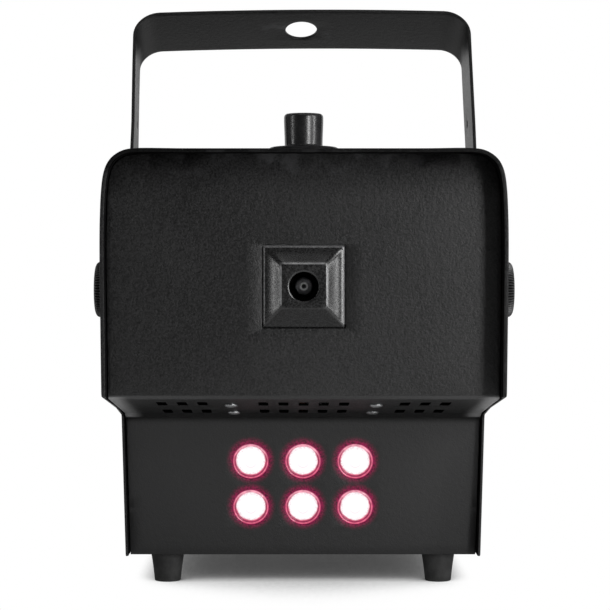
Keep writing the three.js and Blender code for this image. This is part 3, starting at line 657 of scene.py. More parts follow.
def panel_material():
    """Powder coat, with each LED's glow painted on the sheet round it, and painted shade and
    highlights on the chin and faces.
    """
    n = powder("powder_panel", base=0.0074)
    # painted light: each LED's glow, as pink colour and emission on the sheet round it
    glow = None
    for led in LED_AT:
        distance = n.vector("DISTANCE", n.co, (led.x, led.y, led.z + 0.0006))
        halo = n.math("POWER", n.fall(distance, at=(0.0094, 0.0150)), 1.5)
        glow = halo if glow is None else n.plus(glow, halo)
    glow = n.math("MINIMUM", glow, 1.0)
    geometry = n.node("ShaderNodeNewGeometry")
    normal = n.split(geometry.outputs["True Normal"])
    z = n.axis(2)
    # painted shade: the cut walls of the chin's slots, seen by their steep normals, are made
    # black and unreflective
    chin = n.times(n.band(z, up=(0.0950, 0.0960), down=(0.1120, 0.1130)),
                   n.rise(n.axis(1), at=(-0.128, -0.126)))
    wall = n.times(chin, n.fall(n.size(normal[2]), at=(0.55, 0.75)))
    # painted light: the lower face is made lighter below z = 90 to 95 mm
    low = n.fall(z, at=(0.090, 0.095))
    body = n.mix(n.times(low, 0.80), n.tint, rgb(0.021, 0.021, 0.0214))
    # painted highlight along the fold, paler towards its ends
    fold = n.band(z, up=(0.1110, 0.1118), down=(0.1134, 0.1141))
    ends = n.ramp(n.size(n.axis(0)), at=(0.01, 0.09), to=(0.22, 0.55))
    body = n.mix(n.times(fold, ends), body, rgb(0.045, 0.045, 0.0455))
    # painted reflection, pale, on the chin's outer ends
    end = n.times(n.band(z, up=(0.0950, 0.0960), down=(0.1125, 0.1135)),
                  n.rise(n.axis(1), at=(-0.154, -0.150)),
                  n.rise(n.size(n.axis(0)), at=(0.0885, 0.0978)))
    body = n.mix(end, body, rgb(0.20, 0.20, 0.201))
    body = n.mix(wall, body, rgb(0.0010, 0.0010, 0.0010))
    n.set("Base Color", n.mix(glow, body, rgb(0.004, 0.0006, 0.0016)))
    # painted shade: less reflection towards the top, under the hood's rim
    top = n.ramp(z, at=(0.212, 0.233), to=(1.0, 0.38))
    n.set("Specular IOR Level", n.times(n.minus(1.0, wall), top, 0.34))
    n.set("Emission Color", rgb(0.46, 0.004, 0.105))
    speck = n.ramp(n.noise(scale=1000, detail=2, rough=0.6), at=(0.35, 0.65), to=(0.4, 1.6))
    n.set("Emission Strength", n.times(glow, speck, 0.40, n.seen_factor(other=0.2)))
    return n


def cover_material():
    """Same powder, smoother on the drawn pressing, with a painted highlight along the top and
    sides of its inner edge and of its outer rim.
    """
    spec = 0.56
    n = powder("powder_cover", base=0.0100, rough=0.27, bump=0.045, spec=spec)
    side = n.size(n.axis(0))
    up = n.minus(n.axis(2), NOZZLE_Z * MM)
    square = n.math("MAXIMUM", side, n.size(up))      # constant along concentric squares
    # painted highlight: the inner square's edge and the outer rim are made pale, unevenly, on top
    # and both sides
    ridge_highlight = n.times(n.band(square, up=(0.0110, 0.0116), down=(0.0118, 0.0125)),
                    n.rise(up, at=(-0.0105, -0.0085)))
    rim = n.times(n.rise(square, at=(0.0196, 0.0200)), n.rise(up, at=(-0.0196, -0.0186)))
    corner = n.ramp(n.size(n.minus(side, n.size(up))), at=(0.0006, 0.0022), to=(0.25, 1.0))
    edges = n.math("ADD", n.times(ridge_highlight, corner), n.times(rim, 0.55), clamp=True)
    edge_wear_and_highlight = n.times(edges, n.ramp(n.noise(scale=260, detail=3), at=(0.3, 0.7), to=(0.6, 1.0)))
    n.set("Base Color", n.mix(edge_wear_and_highlight, n.tint, rgb(0.20, 0.20, 0.203)))
    # the pressing's lower and right slopes shine less
    under = n.times(n.fall(up, at=(-0.0118, -0.0108)),
                    n.fall(n.plus(side, up), at=(-0.0008, 0.0004)))
    right = n.rise(n.minus(n.axis(0), n.size(up)), at=(0.0, 0.002))
    dull = n.plus(n.times(under, 0.30), n.times(right, 0.13))
    n.set("Specular IOR Level", n.minus(spec, dull))
    return n


def nozzle_material():
    """Dark steel body, with a painted highlight ring on the tip, and painted shade in the bore
    and on the hexagon.
    """
    n = metal("dark_turned_steel", grain=700)
    flat = n.offset_from((0.0, 0.0, NOZZLE_Z * MM), keep=(1.0, 0.0, 1.0))
    radius = n.vector("LENGTH", flat)
    color = n.mix(n.rise(n.noise(scale=500, detail=3), at=(0.35, 0.65)),
                  rgb(0.20, 0.20, 0.21), rgb(0.34, 0.34, 0.35))
    # painted shade: the hexagon, beyond 4.2 mm from the axis, is made black
    color = n.mix(n.rise(radius, at=(0.0042, 0.0047)), color, rgb(0.004, 0.004, 0.004))
    # painted highlight: a bright white, non-metallic ring on the tip
    color = n.mix(n.fall(radius, at=(0.0020, 0.0023)), color, rgb(0.93, 0.93, 0.94))
    # painted shade: the bore and its mouth are made black
    color = n.mix(n.fall(radius, at=(0.0010, 0.0014)), color, rgb(0.003, 0.003, 0.003))
    n.set("Base Color", color)
    n.set("Roughness", n.ramp(radius, at=(0.002, 0.0026), to=(0.45, 0.7)))
    n.set("Metallic", n.rise(radius, at=(0.0022, 0.0025)))
    return n


def alu_material():
    """Cast block, with painted shade round the outlet."""
    n = metal("cast_aluminium", rough=0.5, grain=400)
    # painted shade: the block is darkened within 12 to 20 mm of the outlet's axis
    alu_outlet_shade = n.fall(n.outlet_radius(), at=(0.012, 0.020))
    clean = n.stained(rgb(0.55, 0.56, 0.57), rgb(0.385, 0.392, 0.40))
    n.set("Base Color", n.mix(alu_outlet_shade, clean, rgb(0.02, 0.019, 0.018)))
    return n


def cap_material():
    """Glossy plastic, dull on the skirt's side."""
    n = moulded("cap_plastic", (0.0105, 0.0105, 0.011), rough=0.25, texture=0.1, scale=1500,
                spec=0.55)
    n.set("Specular IOR Level", n.ramp(n.axis(2), at=(0.2507, 0.2515), to=(0.10, 0.55)))
    return n


def knob_material():
    """Grey plastic, with painted shade, black and unreflective, in the valleys between the
    ridges.
    """
    n = moulded("knob_plastic", None, rough=0.42, texture=0.35, scale=1100)
    flat = n.offset_from(point(0, AXLE_DEPTH, AXLE_Z), keep=(0.0, 1.0, 1.0))
    radius = n.vector("LENGTH", flat)
    parts = n.split(flat)
    turn = n.times(n.math("ARCTAN2", parts[2], parts[1]), float(KNOB_RIDGES))
    valley = n.fall(n.math("COSINE", turn, 0.0), at=(-0.75, 0.05))
    # painted shade in the valleys between the ridges
    valley_shade = n.times(n.rise(n.size(n.axis(0)), at=(0.1080, 0.1086)), valley,
                   n.rise(radius, at=(0.0128, 0.0140)))
    grey = n.speckled(rgb(0.020, 0.020, 0.0205), rgb(0.029, 0.029, 0.0295))
    n.set("Base Color", n.mix(valley_shade, grey, rgb(0.0012, 0.0012, 0.0012)))
    n.set("Specular IOR Level", n.ramp(valley_shade, at=(0.0, 1.0), to=(0.5, 0.03), smooth=False))
    return n


def clear_material():
    n = moulded("clear_hose", (0.75, 0.78, 0.78), rough=0.2, texture=0.1, scale=500)
    n.set("Transmission Weight", 0.6)
    return n


def wool_material():
    """Pale wool, with painted shade round the outlet at its front."""
    n = moulded("ceramic_wool", None, rough=0.95, texture=1.0, scale=500, spec=0.2)
    # painted shade: the wool's front is darkened round the outlet
    wool_outlet_shade = n.times(n.fall(n.outlet_radius(), at=(0.012, 0.020)),
                    n.fall(n.axis(1), at=(-0.10, -0.08)))
    clean = n.speckled(rgb(0.58, 0.55, 0.50), rgb(0.80, 0.77, 0.70))
    n.set("Base Color", n.mix(wool_outlet_shade, clean, rgb(0.008, 0.007, 0.006)))
    return n


def lamp_material():
    n = moulded("green_lamp", (0.03, 0.42, 0.12), rough=0.14, texture=0.08)
    n.set("Emission Color", rgb(0.05, 0.9, 0.25))
    uneven = n.noise(scale=300, detail=2)
    n.set("Emission Strength", n.ramp(uneven, at=(0.3, 0.7), to=(0.5, 0.8)))
    return n


def lens_material(index):
    """Lit lens: white-hot core, pink towards its edge, with the faint rings of the optic."""
    n = Material(f"lit_lens_{index}")
    led = LED_AT[index]

    def away(rise):
        """Distance from a point this far above the lens's centre."""
        return n.vector("DISTANCE", n.co, (led.x, led.y, led.z + rise))

    def height():
        return n.minus(n.axis(2), led.z)

    wobble = n.ramp(n.noise(scale=300, detail=3, rough=0.6), at=(0.3, 0.7),
                    to=(-0.00022, 0.00022))
    distance = away(0.0)
    core_distance = n.plus(away(0.00022), wobble)
    upper = n.rise(height(), at=(0.001, 0.0085))      # 1 at the lens's upper edge
    hot = n.fall(core_distance, at=(0.00775, 0.0086))
    groove = n.times(n.band(distance, up=(0.0084, 0.0087), down=(0.0089, 0.0093)),
                     n.minus(1.0, n.times(upper, 0.85)))
    ring = n.mix(upper, rgb(0.68, 0.125, 0.21), rgb(0.80, 0.33, 0.42))
    ring = n.mix(groove, ring, rgb(0.24, 0.010, 0.060))
    ring = n.mix(n.rise(distance, at=(0.0096, 0.0101)), ring, rgb(0.30, 0.018, 0.085))
    streak = n.ramp(n.noise(scale=420, detail=3, rough=0.6), at=(0.35, 0.7), to=(0.8, 1.3))
    frost = n.rise(n.times(n.noise(scale=900, detail=3, rough=0.7),
                           n.rise(core_distance, at=(0.0045, 0.0078))), at=(0.40, 0.60))
    white = n.mix(frost, rgb(1.0, 0.96, 0.975), rgb(0.80, 0.73, 0.75))
    n.set("Emission Color", n.mix(hot, ring, white))
    # a faint darker ring in the core's lower half
    inner = n.times(n.rise(away(-0.0006), at=(0.0027, 0.0031)),
                    n.fall(away(-0.0006), at=(0.0032, 0.0036)))
    lower = n.ramp(height(), at=(-0.004, 0.0), to=(0.2, 0.0))
    core = n.minus(1.04, n.times(inner, lower))
    strength = n.plus(n.times(hot, core), n.times(n.minus(1.0, hot), streak))
    n.set("Emission Strength", n.times(strength, n.seen_factor(other=0.12)))
    n.set("Base Color", rgb(0.05, 0.01, 0.02))
    n.set("Roughness", 0.12)
    n.bump(n.noise(scale=700, detail=2), strength=0.1, distance=0.00005)
    return n


HOOD_POWDER = hood_material()
BRACKET_POWDER = powder("powder_bracket", base=0.006, rough=0.40, spec=0.27)
TRAY_POWDER = powder("powder_tray", base=0.013, rough=0.48)
PANEL_POWDER = panel_material()
COVER_POWDER = cover_material()
SCREW_ZINC = metal("screw_zinc", (0.34, 0.345, 0.35), rough=0.36, dirt=0.45, grain=600)
ZINC = metal("zinc_plated", (0.62, 0.63, 0.64), rough=0.3, dirt=0.22)
DULL_ZINC = metal("zinc_dull", (0.45, 0.46, 0.47), rough=0.42, brush=(1, 0.1, 1), dirt=0.3)
ALUMINIUM = alu_material()
COPPER = metal("copper_tube", (0.72, 0.38, 0.24), rough=0.32, dirt=0.4)
BLACK_SCREW = metal("black_screw", (0.06, 0.06, 0.063), rough=0.38, dirt=0.3)
GLOSS_PLASTIC = cap_material()
BLACK_PLASTIC = moulded("black_plastic", (0.016, 0.016, 0.017), rough=0.46, texture=0.45)
KNOB_PLASTIC = knob_material()
RUBBER = moulded("foot_rubber", (0.021, 0.021, 0.021), rough=0.66, texture=0.6, scale=900,
                 spec=0.35)
GASKET = moulded("gasket_rubber", (0.02, 0.02, 0.02), rough=0.7, texture=0.4, scale=800,
                 spec=0.35)
TANK_PLASTIC = moulded("tank_plastic", (0.72, 0.72, 0.68), rough=0.42, texture=0.2, scale=700)
WOOL = wool_material()
COIL_TAPE = moulded("coil_tape", (0.22, 0.09, 0.03), rough=0.5, texture=0.4, scale=600)
BOARD = moulded("solder_mask", (0.02, 0.11, 0.05), rough=0.38, texture=0.3, scale=900)
CLEAR = clear_material()
RED = moulded("red_button", (0.42, 0.012, 0.012), rough=0.3, texture=0.15, scale=1200)
DRAWER = moulded("drawer_plastic", (0.02, 0.02, 0.021), rough=0.38, texture=0.35)
DARK_STEEL = nozzle_material()
GREEN_LAMP = lamp_material()

# ------------------------------------------------------------------ hood

# front edge of each side, (depth, z), from the top down to the foot
HOOD_FRONT = [(0, 114.2), (80, 103.2), (114.7, 96.8), (124, HOOD_LOW)]
# pattern corner radii: front left, down the right side, two rear corners, up the left side
HOOD_RADII = [2.5, 2.5, 0.0, 3.0, 2.0, 1.5, 1.5, 2.0, 3.0, 0.0]
SIDE_SLOTS = [48, 62, 76, 90, 104]     # depths
SIDE_SLOT_Z = 204
NECK_HOLE = 18.3
HEM = [7.2, 7.8, 8.4]                  # lines where the thicker front and rear rims run out


def build_hood():
    # flat pattern: u is arc length from the left foot, v is depth
    total, length = HOOD.total, HOOD_LENGTH
    half = total / 2

    def arc(z, right):
        return HOOD.find(1, z, half, total) if right else HOOD.find(1, z, 0, half)

    front_right = [(arc(z, True) if z > HOOD_LOW else total, d) for d, z in HOOD_FRONT]
    front_left = [(arc(z, False) if z > HOOD_LOW else 0.0, d) for d, z in HOOD_FRONT]
    corners = [front_left[0], *front_right, (total, length), (0.0, length),
               *reversed(front_left[1:])]
    outline = rounded(corners, HOOD_RADII, 5, closed=True)
    holes = []
    for right in (False, True):
        holes.append(circle2(arc(AXLE_Z, right), AXLE_DEPTH, AXLE_HOLE, 28))
        screw_arc = arc(SIDE_SCREW_Z, right)
        holes += [circle2(screw_arc, d, SIDE_SCREW_HOLE, 16) for d in SIDE_SCREW_DEPTHS]
        holes += [rect2(arc(SIDE_SLOT_Z, right), d, 18, 5, 1.1) for d in SIDE_SLOTS]
    holes.append(circle2(half, NECK_DEPTH, NECK_HOLE, 48))
    u_lines = [float(s) for s in HOOD.s if 0.5 < s < total - 0.5]
    u_lines += [arc(z, right) for z in range(30, 180, 16) for right in (True, False)]
    u_lines += [half + x for x in range(-75, 80, 12)]
    u_lines.sort()
    spaced = [u_lines[0]]
    for u in u_lines[1:]:
        if u - spaced[-1] > 0.45:
            spaced.append(u)
    v_lines = HEM + [20 + 15 * k for k in range(20)] + [length - v for v in reversed(HEM)]

    def skin(u, v, t):
        near = min(v, length - v)
        k = min(max((8.4 - near) / 1.2, 0), 1)
        thickness = 1.5 + 0.8 * k * k * (3 - 2 * k)
        x, z = HOOD.offset(u, -thickness * t)
        return (x, v - MID, z)

    data = sheet_data(outline, holes, spaced, v_lines, skin, edge=0.38, steps=3)
    ob = mesh_object("hood_shell", *data, sharp=50)
    dress(ob, HOOD_POWDER, "housing", "powder_coat", "hood_cover")


build_hood()

# ------------------------------------------------------------------ front panel

SHEET = 1.2                  # thickness of the panel and the tray
PANEL_GAP = 1.95             # from the hood's outside to the panel's edge
# (depth, z), walked downwards: the left-hand normal points into the housing
PANEL = Path2(rounded([(PANEL_DEPTH, 237.2), (PANEL_DEPTH, FOLD_Z), CHIN_KNEE, CHIN_END,
                       FACE_END], [0, 2.6, 12, 5, 0], 7))


def build_panel():
    # flat pattern: u is x, v is arc length down the panel
    total = PANEL.total
    right = [(x, PANEL.find(1, z, 0, 30)) for x, z in hood_corner(237.0, PANEL_GAP)]
    below = right[-1][1] + 1.5
    right += [(half_width(PANEL.offset(s)[1]) - PANEL_GAP, s)
              for s in np.linspace(0, total, 90) if s > below]
    holes = [rect2(0, PANEL.find(1, NOZZLE_Z, 0, 110), 42.6, 42.6, 0.8)]
    for depth in VENT_ROWS:
        s = PANEL.find(0, depth, 120, 226)
        holes += [rect2(x, s, 5, 22, 0.75) for x in VENT_X]
        holes += [circle2(x, s, 2.3, 16) for x in (-CHIN_SCREW_X, CHIN_SCREW_X)]
    for x, down in LEDS:
        z = CHIN_END[1] + down * math.cos(face_lean)
        holes.append(circle2(x, PANEL.find(1, z, total - 76, total), 10.25, 56))
    flats = [10 + 12 * k for k in range(9)]
    flats += [*np.linspace(132, 225, 9), *np.linspace(244, total - 6, 7)]
    u_lines = [-98, -90, -80, -60, -45, -30, -15, 0, 15, 30, 45, 60, 80, 90, 98]

    def skin(u, s, t):
        # a pressed sheet is never quite flat
        ripple = 0.10 * math.sin(u * 0.031 + 0.6) * math.sin(s * 0.027 + 0.3)
        depth, z = PANEL.offset(s, ripple + SHEET * t)
        return (u, depth - MID, z)

    data = sheet_data(mirrored(right), holes, u_lines, PANEL.lines(flats), skin,
                      edge=0.28, steps=2)
    ob = mesh_object("panel_sheet", *data, sharp=50)
    dress(ob, PANEL_POWDER, "housing", "powder_coat", "front_panel")


build_panel()

# ------------------------------------------------------------------ nozzle cover and nozzle

# rounded squares: half side, corner radius, depth, bow of the sides towards the axis
COVER_OUTSIDE = [            # from the panel out to the flat front
    (20.65, 0.9, 17.4, 0), (20.65, 0.9, 15.8, 0), (20.58, 0.95, 15.42, 0),
    (20.38, 1.0, 15.08, 0), (20.08, 1.05, 14.84, 0), (19.7, 1.1, 14.73, 0),
    (19.3, 1.2, 14.62, 0.0), (18.7, 1.35, 14.36, 0.03), (17.9, 1.6, 13.88, 0.07),
    (16.9, 1.9, 13.2, 0.1), (15.6, 2.2, 12.24, 0.1), (14.2, 2.3, 11.14, 0.04),
    (12.9, 2.1, 10.1, -0.06), (12.35, 1.9, 9.68, -0.12), (12.0, 1.85, 9.44, -0.15),
    (11.65, 1.8, 9.25, -0.18), (11.25, 1.75, 9.11, -0.2), (10.8, 1.7, 9.03, -0.16),
    (10.2, 1.6, 9.0, -0.06), (9.6, 1.6, 9.0, 0)]
COVER_HOLE = [               # radius, depth
    (8.5, 9.0), (8.1, 9.05), (7.75, 9.2), (7.52, 9.42), (7.42, 9.65), (7.4, 10.0), (7.6, 10.2)]
COVER_INSIDE = [             # back to the panel, then the flange behind it
    (9.4, 1.2, 10.2, 0), (10.6, 1.0, 10.4, 0), (12.6, 0.9, 11.6, 0.1), (15.2, 0.8, 13.7, 0.15),
    (17.6, 0.7, 15.5, 0.1), (19.4, 0.6, 16.6, 0), (19.5, 0.6, 18.7, 0),
    (25.0, 2.0, 18.7, 0), (25.0, 2.0, 17.5, 0), (20.9, 0.7, 17.5, 0)]


def square_ring(half, radius, depth, bow):
    loop = rect2(0, 0, 2 * half, 2 * half, radius, steps=6)
    dense = []
    for i, a in enumerate(loop):
        b = loop[(i + 1) % len(loop)]
        steps = 10 if math.dist(a, b) > 4 else 1
        for k in range(steps):
            dense.append((a[0] + (b[0] - a[0]) * k / steps, a[1] + (b[1] - a[1]) * k / steps))
    ring = []
    for x, z in dense:
        reach = max(abs(x), abs(z))
        along = min(abs(x), abs(z)) / half
        factor = (reach - bow * (1 - min(along, 1) ** 2)) / reach
        if abs(x) > abs(z):
            x *= factor
        else:
            z *= factor
        ring.append(point(x, depth, NOZZLE_Z + z))
    return ring


def build_cover():
    rings = [square_ring(*station) for station in COVER_OUTSIDE]
    angles = [math.atan2(p.z / MM - NOZZLE_Z, p.x / MM) for p in rings[-1]]
    for r, depth in COVER_HOLE:
        rings.append([point(r * math.cos(a), depth, NOZZLE_Z + r * math.sin(a))
                      for a in angles])
    rings += [square_ring(*station) for station in COVER_INSIDE]
    ob = mesh_object("nozzle_hood", *skin_data(rings, closed=True), sharp=65)
    dress(ob, COVER_POWDER, "housing", "powder_coat", "nozzle_cover")


build_cover()

# (radius, depth) of the bored body
NOZZLE_PROFILE = [
    (0.8, 24.5), (0.8, 22.6), (0.95, 22.2), (1.3, 22.0), (1.75, 22.08), (1.98, 22.3),
    (2.05, 22.6), (2.05, 22.85), (2.3, 22.95), (3.4, 23.1), (3.95, 23.3), (4.2, 23.8),
    (4.25, 25.8), (4.25, 33.0), (4.25, 49.0), (0.8, 49.0), (0.8, 24.5)]
HEXAGON = [(6.1, 33.0), (6.6, 33.5), (6.6, 37.4), (6.1, 37.9)]     # radius limit, depth
HEXAGON_FLAT = 5.75          # axis to flat


def build_nozzle():
    matrix = frame_at(point(0, 0, NOZZLE_Z), (1, 0, 0), (0, 1, 0))
    body = lathe_data(NOZZLE_PROFILE, 48, matrix)
    rings = []
    for limit, height in HEXAGON:
        ring = []
        for i in range(72):
            a = 2 * math.pi * i / 72
            r = min(limit, HEXAGON_FLAT / math.cos((a % (math.pi / 3)) - math.pi / 6))
            ring.append(matrix @ Vector((r * math.cos(a), r * math.sin(a), height)))
        rings.append(ring)
    ob = merged("nozzle_body", [body, skin_data(rings)], sharp=35)
    dress(ob, DARK_STEEL, "housing", "dark_steel", "nozzle")


build_nozzle()

# ------------------------------------------------------------------ LEDs

# (radius, distance into the housing)
LENS_PROFILE = [
    (0, 0.55), (2.6, 0.62), (3.0, 0.8), (3.4, 0.66), (6.0, 0.95), (7.6, 1.25), (8.3, 1.55),
    (8.45, 1.5), (8.6, 0.62), (8.8, 0.45), (9.1, 0.5), (9.3, 0.62), (9.55, 0.35), (9.8, 0.3),
    (9.95, 0.5), (9.95, 1.5), (11.6, 1.6), (11.6, 6.2), (8.4, 6.2), (7.6, 8.5), (4.2, 12.1),
    (0, 12.2)]
inwards = FACE.to_3x3() @ Vector((0, 1, 0))
for i, place in enumerate(LED_AT):
    lens = lathe(f"lens_{i + 1}", LENS_PROFILE, 64, frame_at(place, (1, 0, 0), inwards), sharp=60)
    dress(lens, lens_material(i), "housing", "led_lens", f"led_lens_{i + 1}")

# ------------------------------------------------------------------ screws


def pan_screw(name, matrix, material, slot, replaced, head, shank, turn):
    """Cross-recessed pan head above z = 0, shank below; both are (radius, length)."""
    segments = 96
    head_r, head_h = head
    shank_r, length = shank
    arm, reach = head_r * 0.13, head_r * 0.5       # half width and length of a recess arm

    def recessed(r, a):
        low, high = sorted((abs(r * math.cos(a)), abs(r * math.sin(a))))
        across = max(0.0, min(1.0, (arm - low) / (arm * 0.25) + 0.5))
        along = max(0.0, min(1.0, (reach - high) / (head_r * 0.08) + 0.5))
        return head_h - across * along * head_h * 0.55 * (1 - 0.3 * high / reach)

    # (radius, height); a height of None follows the recess
    stations = [(head_r * 0.62 * k / 9, None) for k in range(10)]
    for k in range(1, 9):
        a = math.pi / 2 * k / 8
        stations.append((head_r * (0.62 + 0.38 * math.sin(a)),
                         head_h * (0.42 + 0.58 * math.cos(a))))
    stations += [(head_r, head_h * 0.12), (head_r * 0.97, 0.0), (shank_r, 0.0),
                 (shank_r, -length * 0.92), (shank_r * 0.7, -length), (0, -length)]
    points, rings = [], []
    for r, height in stations:
        ring = []
        for i in range(segments if r else 1):
            a = 2 * math.pi * i / segments
            h = recessed(r, a) if height is None else height
            ring.append(len(points))
            points.append(Vector((r * math.cos(a), r * math.sin(a), h)))
        rings.append(ring)
    faces = []
    for a, b in zip(rings, rings[1:]):
        for i in range(segments):
            j = (i + 1) % segments
            if len(a) == 1:
                faces.append((a[0], b[i], b[j]))
            elif len(b) == 1:
                faces.append((a[i], b[0], a[j]))
            else:
                faces.append((a[i], b[i], b[j], a[j]))
    turned = Matrix.Rotation(turn, 4, "Z")
    ob = mesh_object(name, [matrix @ (turned @ p) for p in points], faces, sharp=32)
    dress(ob, material, "housing", slot, replaced)


below_chin = CHIN.to_3x3() @ Vector((0, 0, -1))
chin_screws = [(depth, s) for depth in VENT_ROWS for _, s in SIDES]
for k, (depth, s) in enumerate(chin_screws, 1):
    along = (depth - PANEL_DEPTH) / math.cos(chin_slope)
    seat = CHIN @ Vector((s * CHIN_SCREW_X, along, -0.25))
    pan_screw(f"heater_screw_{k}", frame_at(seat, (1, 0, 0), below_chin), SCREW_ZINC,
              "zinc_steel", f"chin_screw_{k}", head=(3.4, 1.35), shank=(1.9, 8),
              turn=0.5 + 0.9 * k)
side_screws = [(depth, s) for depth in SIDE_SCREW_DEPTHS for _, s in SIDES]
for k, (depth, s) in enumerate(side_screws, 1):
    seat = point(s * (half_width(SIDE_SCREW_Z - 3.2) + 0.35), depth, SIDE_SCREW_Z)
    pan_screw(f"hood_screw_{k}", frame_at(seat, (0, 1, 0), (s, 0, 0)), BLACK_SCREW,
              "black_screw", f"side_screw_{k}", head=(3.2, 2.0), shank=(1.6, 7),
              turn=0.3 + 1.1 * k)

# ------------------------------------------------------------------ feet

FOOT_PROFILE = [             # (radius, z), with a counterbore from below
    (4.6, 0.25), (4.85, 0.0), (6.7, 0.0), (7.1, 0.1), (7.4, 0.35), (7.52, 0.7), (7.45, 1.05),
    (7.55, 1.3), (7.8, 4.0), (8.35, 8.5), (9.0, 13.0), (9.5, 16.0), (9.75, 16.9), (9.85, 17.3),
    (9.8, 17.6), (9.5, 17.8), (2.3, 17.8), (2.3, 8.0), (4.3, 8.0), (4.6, 7.7), (4.6, 0.25)]
feet = [(f"{end}_{side}", s * FOOT_X, depth) for end, depth in FOOT_DEPTHS for side, s in SIDES]
for k, (where, x, depth) in enumerate(feet):
    foot = lathe(f"rubber_foot_{where}", FOOT_PROFILE, 56, upright(x, depth), sharp=45)
    dress(foot, RUBBER, "housing", "rubber", f"foot_{where}")
    pan_screw(f"foot_bolt_{k + 1}", frame_at(point(x, depth, 7.65), (1, 0, 0), (0, 0, -1)),
              DULL_ZINC, "zinc_steel", f"foot_screw_{k + 1}", head=(3.8, 2.2),
              shank=(1.9, 17), turn=0.7 * k)

# ------------------------------------------------------------------ bracket

STRAP_X, STRAP_TOP = 105.4, 184.0      # outer faces, measured from the clamp axis
STRAP_HALF = 21.5                      # half width, and radius of the round ends
STRAP_THICK = 2.0
STRAP_LEAN = math.radians(25)
PIVOT = (Matrix.Translation(Vector((0, AXLE_DEPTH - MID, AXLE_Z)))
         @ Matrix.Rotation(-STRAP_LEAN, 4, "X"))
# sideways lean of each arm at these fractions of its height
LEAN_HEIGHTS = (0, 0.3, 0.55, 0.79, 1.0)
LEAN_LEFT = (0, 0.1, 0.45, -0.4, -0.85)
LEAN_RIGHT = (0, 0.1, 0.3, 0.0, -0.15)


def build_bracket():
    # walked up the left arm: the left-hand normal points outwards
    path = Path2(rounded([(-STRAP_X, -STRAP_HALF), (-STRAP_X, STRAP_TOP), (STRAP_X, STRAP_TOP),
                          (STRAP_X, -STRAP_HALF)], 16.5, 12))
    first, last = STRAP_HALF, path.total - STRAP_HALF      # arc lengths of the two pivots
    steps = 20
    turns = [math.pi * k / steps for k in range(steps + 1)]
    outline = [(first - STRAP_HALF * math.sin(a), -STRAP_HALF * math.cos(a)) for a in turns]
    outline += [(last + STRAP_HALF * math.sin(a), STRAP_HALF * math.cos(a)) for a in turns]
    holes = [circle2(path.total / 2, 0, 10, 48)]
    holes += [circle2(s, 0, AXLE_HOLE, 28) for s in (first, last)]
    holes += [circle2(s, 5, 2.5, 24) for s in (first + 117, last - 117)]
    u_lines = path.lines(np.linspace(12, path.total - 12, 42), margin=1)

    def skin(u, v, t):
        # hand-bent: the cross bar rises a touch in the middle and sits slightly askew
        x, z = path.offset(u, -STRAP_THICK * t)
        up = max(z, 0.0) / STRAP_TOP
        across = x / 100.0
        share = min(max((x + 105.0) / 210.0, 0.0), 1.0)
        lean = (float(np.interp(up, LEAN_HEIGHTS, LEAN_LEFT)) * (1 - share)
                + float(np.interp(up, LEAN_HEIGHTS, LEAN_RIGHT)) * share)
        wide = v * (1 + 0.035 * up) + 0.75 * up
        rise = up * up * (-0.2 - 2.0 * across * across + 0.62 * across)
        return tuple(PIVOT @ Vector((x + lean - 0.015 * v, wide, z + rise)))

    data = sheet_data(outline, holes, u_lines, [-19, -12, -4, 4, 12, 19], skin,
                      edge=0.45, steps=3)
    ob = mesh_object("strap", *data, sharp=50)
    dress(ob, BRACKET_POWDER, "bracket", "powder_coat", "bracket")


build_bracket()

# ------------------------------------------------------------------ knobs, washers

KNOB_INNER = 107.5           # distance of the knob's inner face from x = 0
# (radius, distance from x = 0) of a knob before it is squeezed
KNOB_PROFILE = [
    (0, 107.5), (6.5, 107.5), (6.8, 107.7), (6.8, 109.0), (7.3, 109.3), (13.6, 109.3),
    (14.0, 109.0), (14.1, 107.7), (14.4, 107.5), (15.3, 107.5), (15.9, 107.8), (16.2, 108.3),
    (16.5, 108.9), (16.65, 109.4), (16.65, 111), (16.65, 114), (16.65, 117), (16.65, 120.6),
    (16.65, 122.4), (16.6, 123.2), (16.45, 123.9), (16.15, 124.5), (15.75, 125.0), (15.2, 125.4),
    (14.5, 125.75), (13.7, 126.02), (12.8, 126.15), (12.4, 125.8), (11.9, 125.8), (11.5, 126.15),
    (10.0, 126.3), (7, 126.5), (3.5, 126.62), (0, 126.65)]
KNOB_SQUEEZE = {"left": 0.885, "right": 0.99}      # the left one is screwed in further
WASHER_PROFILE = [
    (4.4, 105.75), (4.6, 105.7), (9.8, 105.7), (10, 105.85), (10, 107.05), (9.8, 107.2),
    (4.6, 107.2), (4.4, 107.05), (4.4, 105.75)]
STUD_START, STUD_END = 88.0, 107.4
STUD_PITCH, STUD_STEP = 1.25, 0.3125
STUD_RADIUS, STUD_GROOVE = 3.98, 0.55


def build_knob(side, matrix):
    squeeze = KNOB_SQUEEZE[side]

    def flute(a, height, r):
        height = KNOB_INNER + (height - KNOB_INNER) / squeeze
        if r < 12.9 or height < 108.4 or (height < 120 and r < 14.8):
            return 0.0
        fade = min(1.0, (height - 108.2) / 0.8, (r - 12.9) / 1.2)
        return -0.95 * (0.5 - 0.5 * math.cos(a * KNOB_RIDGES)) ** 0.8 * max(fade, 0.0)

    profile = [(r, KNOB_INNER + (h - KNOB_INNER) * squeeze) for r, h in KNOB_PROFILE]
    knob = lathe(f"clamp_knob_{side}", profile, KNOB_RIDGES * 8, matrix, flute, sharp=40)
    dress(knob, KNOB_PLASTIC, f"knob_{side}", "black_plastic", f"knob_{side}")


